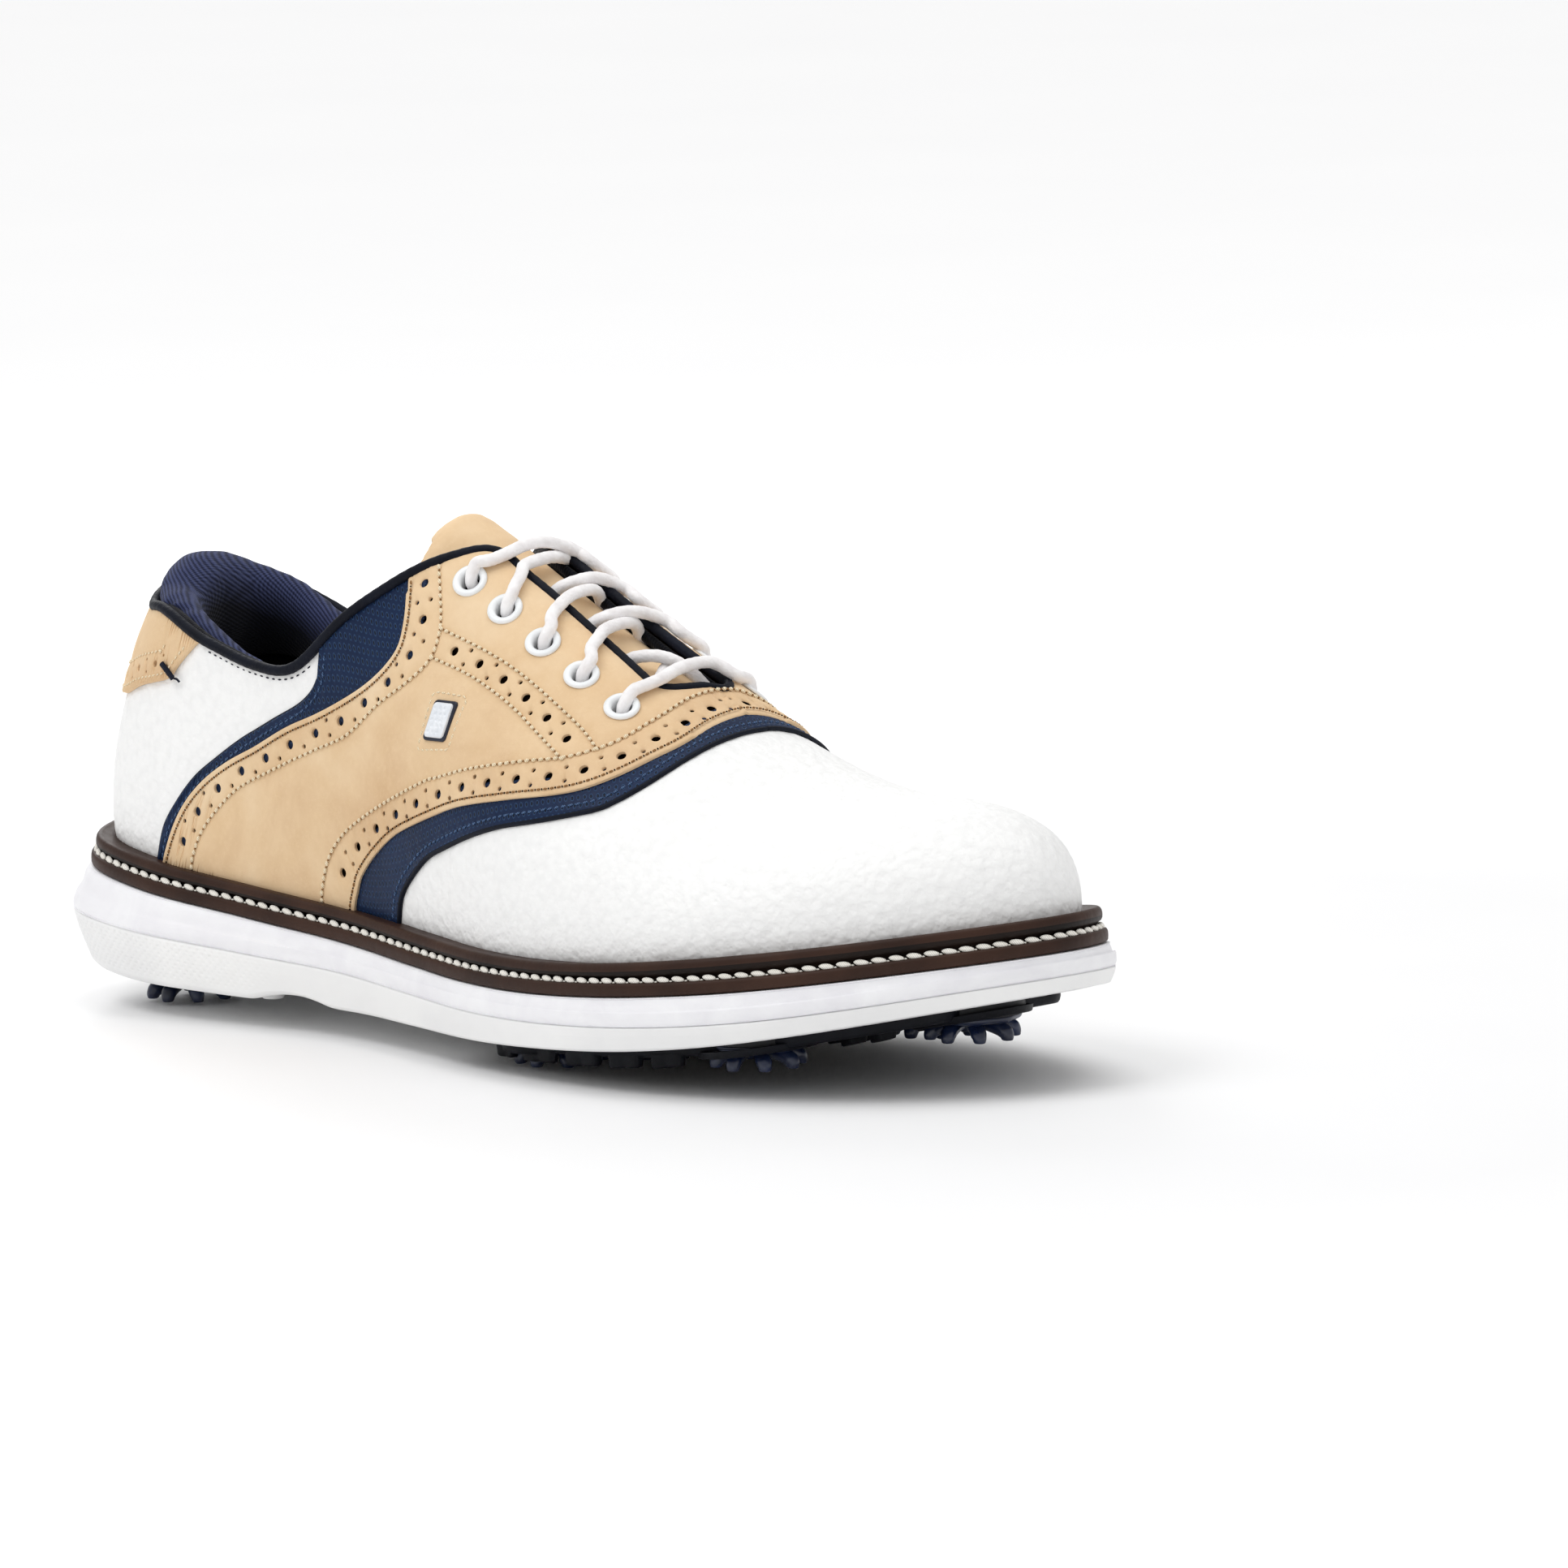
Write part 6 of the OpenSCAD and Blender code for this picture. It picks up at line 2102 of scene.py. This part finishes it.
# ------------------------------------------------------------------ soft spikes
SPIKE_SECTION = [       # radius, height: the disc from its lower middle, then the stem
    (0.01, -3.35), (1.2, -3.4), (2.6, -3.38), (3.4, -3.3), (3.9, -3.0), (4.3, -2.62),
    (5.2, -2.42), (7.0, -2.16), (8.8, -1.92), (10.2, -1.66), (10.9, -1.4), (11.32, -1.05),
    (11.42, -.7), (11.3, -.35), (10.9, -.14), (8, -.1), (4.25, -.1), (4.18, .1), (4.16, 3.9),
    (4.3, 4.15), (4.85, 4.35), (4.86, 4.85), (4.4, 5.15), (3.4, 5.38), (.01, 5.4)]
SPIKE_LEG = spline([    # radius, height, share of the sweep
    (3.6, -2.5, 0), (5.6, -2.75, .35), (7.5, -3.1, .7), (8.9, -3.75, .9), (9.55, -4.6, 1),
    (9.75, -5.5, 1.02), (9.78, -6.02, 1.02)], detail(5, 2))
SPIKE_LEGS = 8
LEG_SWEEP = .16         # radians
FOOT_Z = -6.2


def spike(name, centre):
    parts = Parts()
    n = detail(96, 32)
    angle = turn(n)
    lobes = np.cos(SPIKE_LEGS * angle)
    rows = []
    for r, z in SPIKE_SECTION:
        scallop = (1 - .035 * (.5 - .5 * lobes) * np.clip((r - 6) / 4, 0, 1)
                   * (z > -2.3) * (z < 0))
        rib = (.32 * (.5 + .5 * lobes) * np.clip((r - 4.5) / 3, 0, 1)
               * np.clip((-z - 1.2) / .8, 0, 1))
        rows.append(np.stack([centre[0] + r * scallop * np.cos(angle),
                              centre[1] + r * scallop * np.sin(angle),
                              centre[2] + z - rib], 1))
    parts.add(np.concatenate(rows), loft_faces(len(rows), n))
    widths = np.interp(np.linspace(0, 1, len(SPIKE_LEG)), [0, .3, .55, .8, .92, .97, 1],
                       [1.25, 1.75, 1.85, 1.5, 1.3, 1.1, .75])

    def polar(r, around, z):
        return centre + np.array([r * math.cos(around), r * math.sin(around), z])

    for start in turn(SPIKE_LEGS):      # legs that sweep outward and down to rounded feet
        line = [polar(r, start + LEG_SWEEP * share, z) for r, z, share in SPIKE_LEG]
        verts, faces = tube(line, widths, n=detail(14, 7))
        verts[:, 2] = np.maximum(verts[:, 2], centre[2] + FOOT_Z)
        parts.add(verts, faces)
    for k in range(4):      # low inner nubs
        line = [polar(5.9, 2 * math.pi * (k + .5) / 4, z) for z in (-2.0, -3.0, -3.7, -4.1, -4.3)]
        parts.add(*tube(line, np.array([1.35, 1.2, 1.05, .8, .4]), n=detail(12, 6)))
    for around in (0, math.pi):     # raised rims of the two wrench sockets
        middle = polar(2.1, around, -3.42)
        line = [middle + np.array([.85 * math.cos(t), .85 * math.sin(t), 0]) for t in turn(20)]
        parts.add(*tube(line, .17, n=6, closed=True, up=np.tile([0, 0, 1.], (20, 1))))
    fix_normals(parts.out("spike_" + name, "cleat_tpu", body="cleat_" + name + "_spike",
                          rep="cleat_" + name, sharp=38))


# rim of the sockliner: offset from the outline, height above the seat
SOCKLINER_RIM = [(-11.9, 7.4), (-11.5, 7.6), (-11.35, 8.4), (-11.4, 9.6), (-11.6, 10.6),
                 (-12.0, 11.2), (-12.7, 11.4)]


def sockliner():
    """cushioned footbed, slightly dished"""
    places = stations(detail(2.2, 6))[:-1]
    n = len(places)
    seat = hermite(SEAT, outline(places)[:, 0])
    rows = [ring3(places, off, seat + z) for off, z in SOCKLINER_RIM]
    rim = kd_tree(rows[-1][:, :2])

    def footbed(x, y):
        gap = distances(rim, np.stack([x, y], 1))
        return (hermite(SEAT, x) + 11.4 - .9 * (1 - np.exp(-(gap / 7.) ** 2))
                + plan_noise(x, y, 18, 241) * .2)

    verts, faces = np.concatenate(rows), grid_faces(len(rows), n)
    last = (len(rows) - 1) * n
    verts, _ = plan_cap(verts, faces, np.arange(last, last + n), footbed, detail(2.2, 7))
    verts, _ = plan_cap(verts, faces, np.arange(n), lambda x, y: hermite(SEAT, x) + 7.4, 7.0,
                        flip=True)
    fix_normals(add_mesh("sockliner_footbed", *compact(verts, faces), "sockliner_textile",
                         rep="sockliner"))


# ------------------------------------------------------------------ camera, light, floor
def camera():
    azimuth, elevation, roll = map(math.radians, (45.75, 7.66, -1.52))
    target = np.array([150., 0, 50])
    shift_right, shift_up, distance = 48.05, 7.86, 2859.77      # mm
    back = np.array([math.sin(azimuth) * math.cos(elevation),
                     -math.cos(azimuth) * math.cos(elevation), math.sin(elevation)])
    right = unit(np.cross(-back, [0, 0, 1]))
    up = np.cross(right, -back)
    eye = to_world(target + right * shift_right + up * shift_up + back * distance)
    rolled_right = right * math.cos(roll) + up * math.sin(roll)
    rolled_up = -right * math.sin(roll) + up * math.cos(roll)
    data = bpy.data.cameras.new("camera")
    ob = bpy.data.objects.new("camera", data)
    bpy.context.scene.collection.objects.link(ob)
    data.sensor_fit = "HORIZONTAL"
    data.sensor_width = 36
    data.lens = 280.7987
    data.clip_start = .05
    data.clip_end = 50
    rows = np.column_stack([rolled_right, rolled_up, back, eye]).tolist()
    ob.matrix_world = Matrix(rows + [[0, 0, 0, 1]])
    bpy.context.scene.camera = ob


def floor():
    """pale floor that glows more with distance, to fade into the background"""
    m = Shader("floor_pale")
    color = m.mix(m.noise(scale=6), (250, 250, 250), (244, 244, 245))
    far = m.node("ShaderNodeVectorMath", {0: m.object}, operation="LENGTH").outputs["Value"]
    m.finish(color, .6, Emission_Color=(1, 1, 1, 1),
             Emission_Strength=m.remap(far, source=(.30, 1.1), target=(0, .36)))
    half = 8.0
    me = bpy.data.meshes.new("floor")
    me.from_pydata([(-half, -half, 0), (half, -half, 0), (half, half, 0), (-half, half, 0)],
                   [], [(0, 1, 2, 3)])
    me.materials.append(MATS["floor_pale"])
    ob = bpy.data.objects.new("floor", me)
    bpy.context.scene.collection.objects.link(ob)
    ob.location.z = -.0006


def studio_world(light, seen):
    """white world: strength for lighting, and strength as the camera sees it"""
    world = bpy.data.worlds.new("studio")
    bpy.context.scene.world = world
    world.use_nodes = True
    tree = world.node_tree
    background = tree.nodes["Background"]
    background.inputs["Color"].default_value = (1, 1, 1, 1)
    path = tree.nodes.new("ShaderNodeLightPath")
    strength = tree.nodes.new("ShaderNodeMapRange")
    strength.inputs[3].default_value = light
    strength.inputs[4].default_value = seen
    tree.links.new(path.outputs["Is Camera Ray"], strength.inputs[0])
    tree.links.new(strength.outputs[0], background.inputs["Strength"])


def area_light(name, location, target_z, size, power):
    """area light that points at a height above the origin"""
    light = bpy.data.lights.new(name, "AREA")
    light.energy = power
    light.shape = "RECTANGLE"
    light.size, light.size_y = size
    ob = bpy.data.objects.new(name, light)
    bpy.context.scene.collection.objects.link(ob)
    ob.location = location
    aim = Vector((0, 0, target_z)) - Vector(location)
    ob.rotation_euler = aim.to_track_quat("-Z", "Y").to_euler()


saddle()
front_underlay()
rear_underlays()
vamp()
back_quarter()
heel_tab()
upper_stitching()
lining()
piping()
quarter_stitching()
collar()
tongue()
eyelets()
lace()
emblem()
bartacks()
folded_edges()
welt()
welt_stitches()
midsole()
outsole()
traction_plate()
for cleat_name, *cleat_centre in CLEATS:
    spike(cleat_name, np.array(cleat_centre))
sockliner()

camera()
floor()
studio_world(light=.62, seen=.97)
area_light("key", (-.15, -.75, 1.15), target_z=.04, size=(.8, .5), power=5.0)
area_light("top", (.15, .15, 1.2), target_z=.05, size=(.9, .9), power=4.2)
area_light("rim", (-.9, .55, .6), target_z=.06, size=(.5, .5), power=2.6)
view = bpy.context.scene.view_settings
view.view_transform = "Standard"
view.look = "None"
view.exposure = 0.0
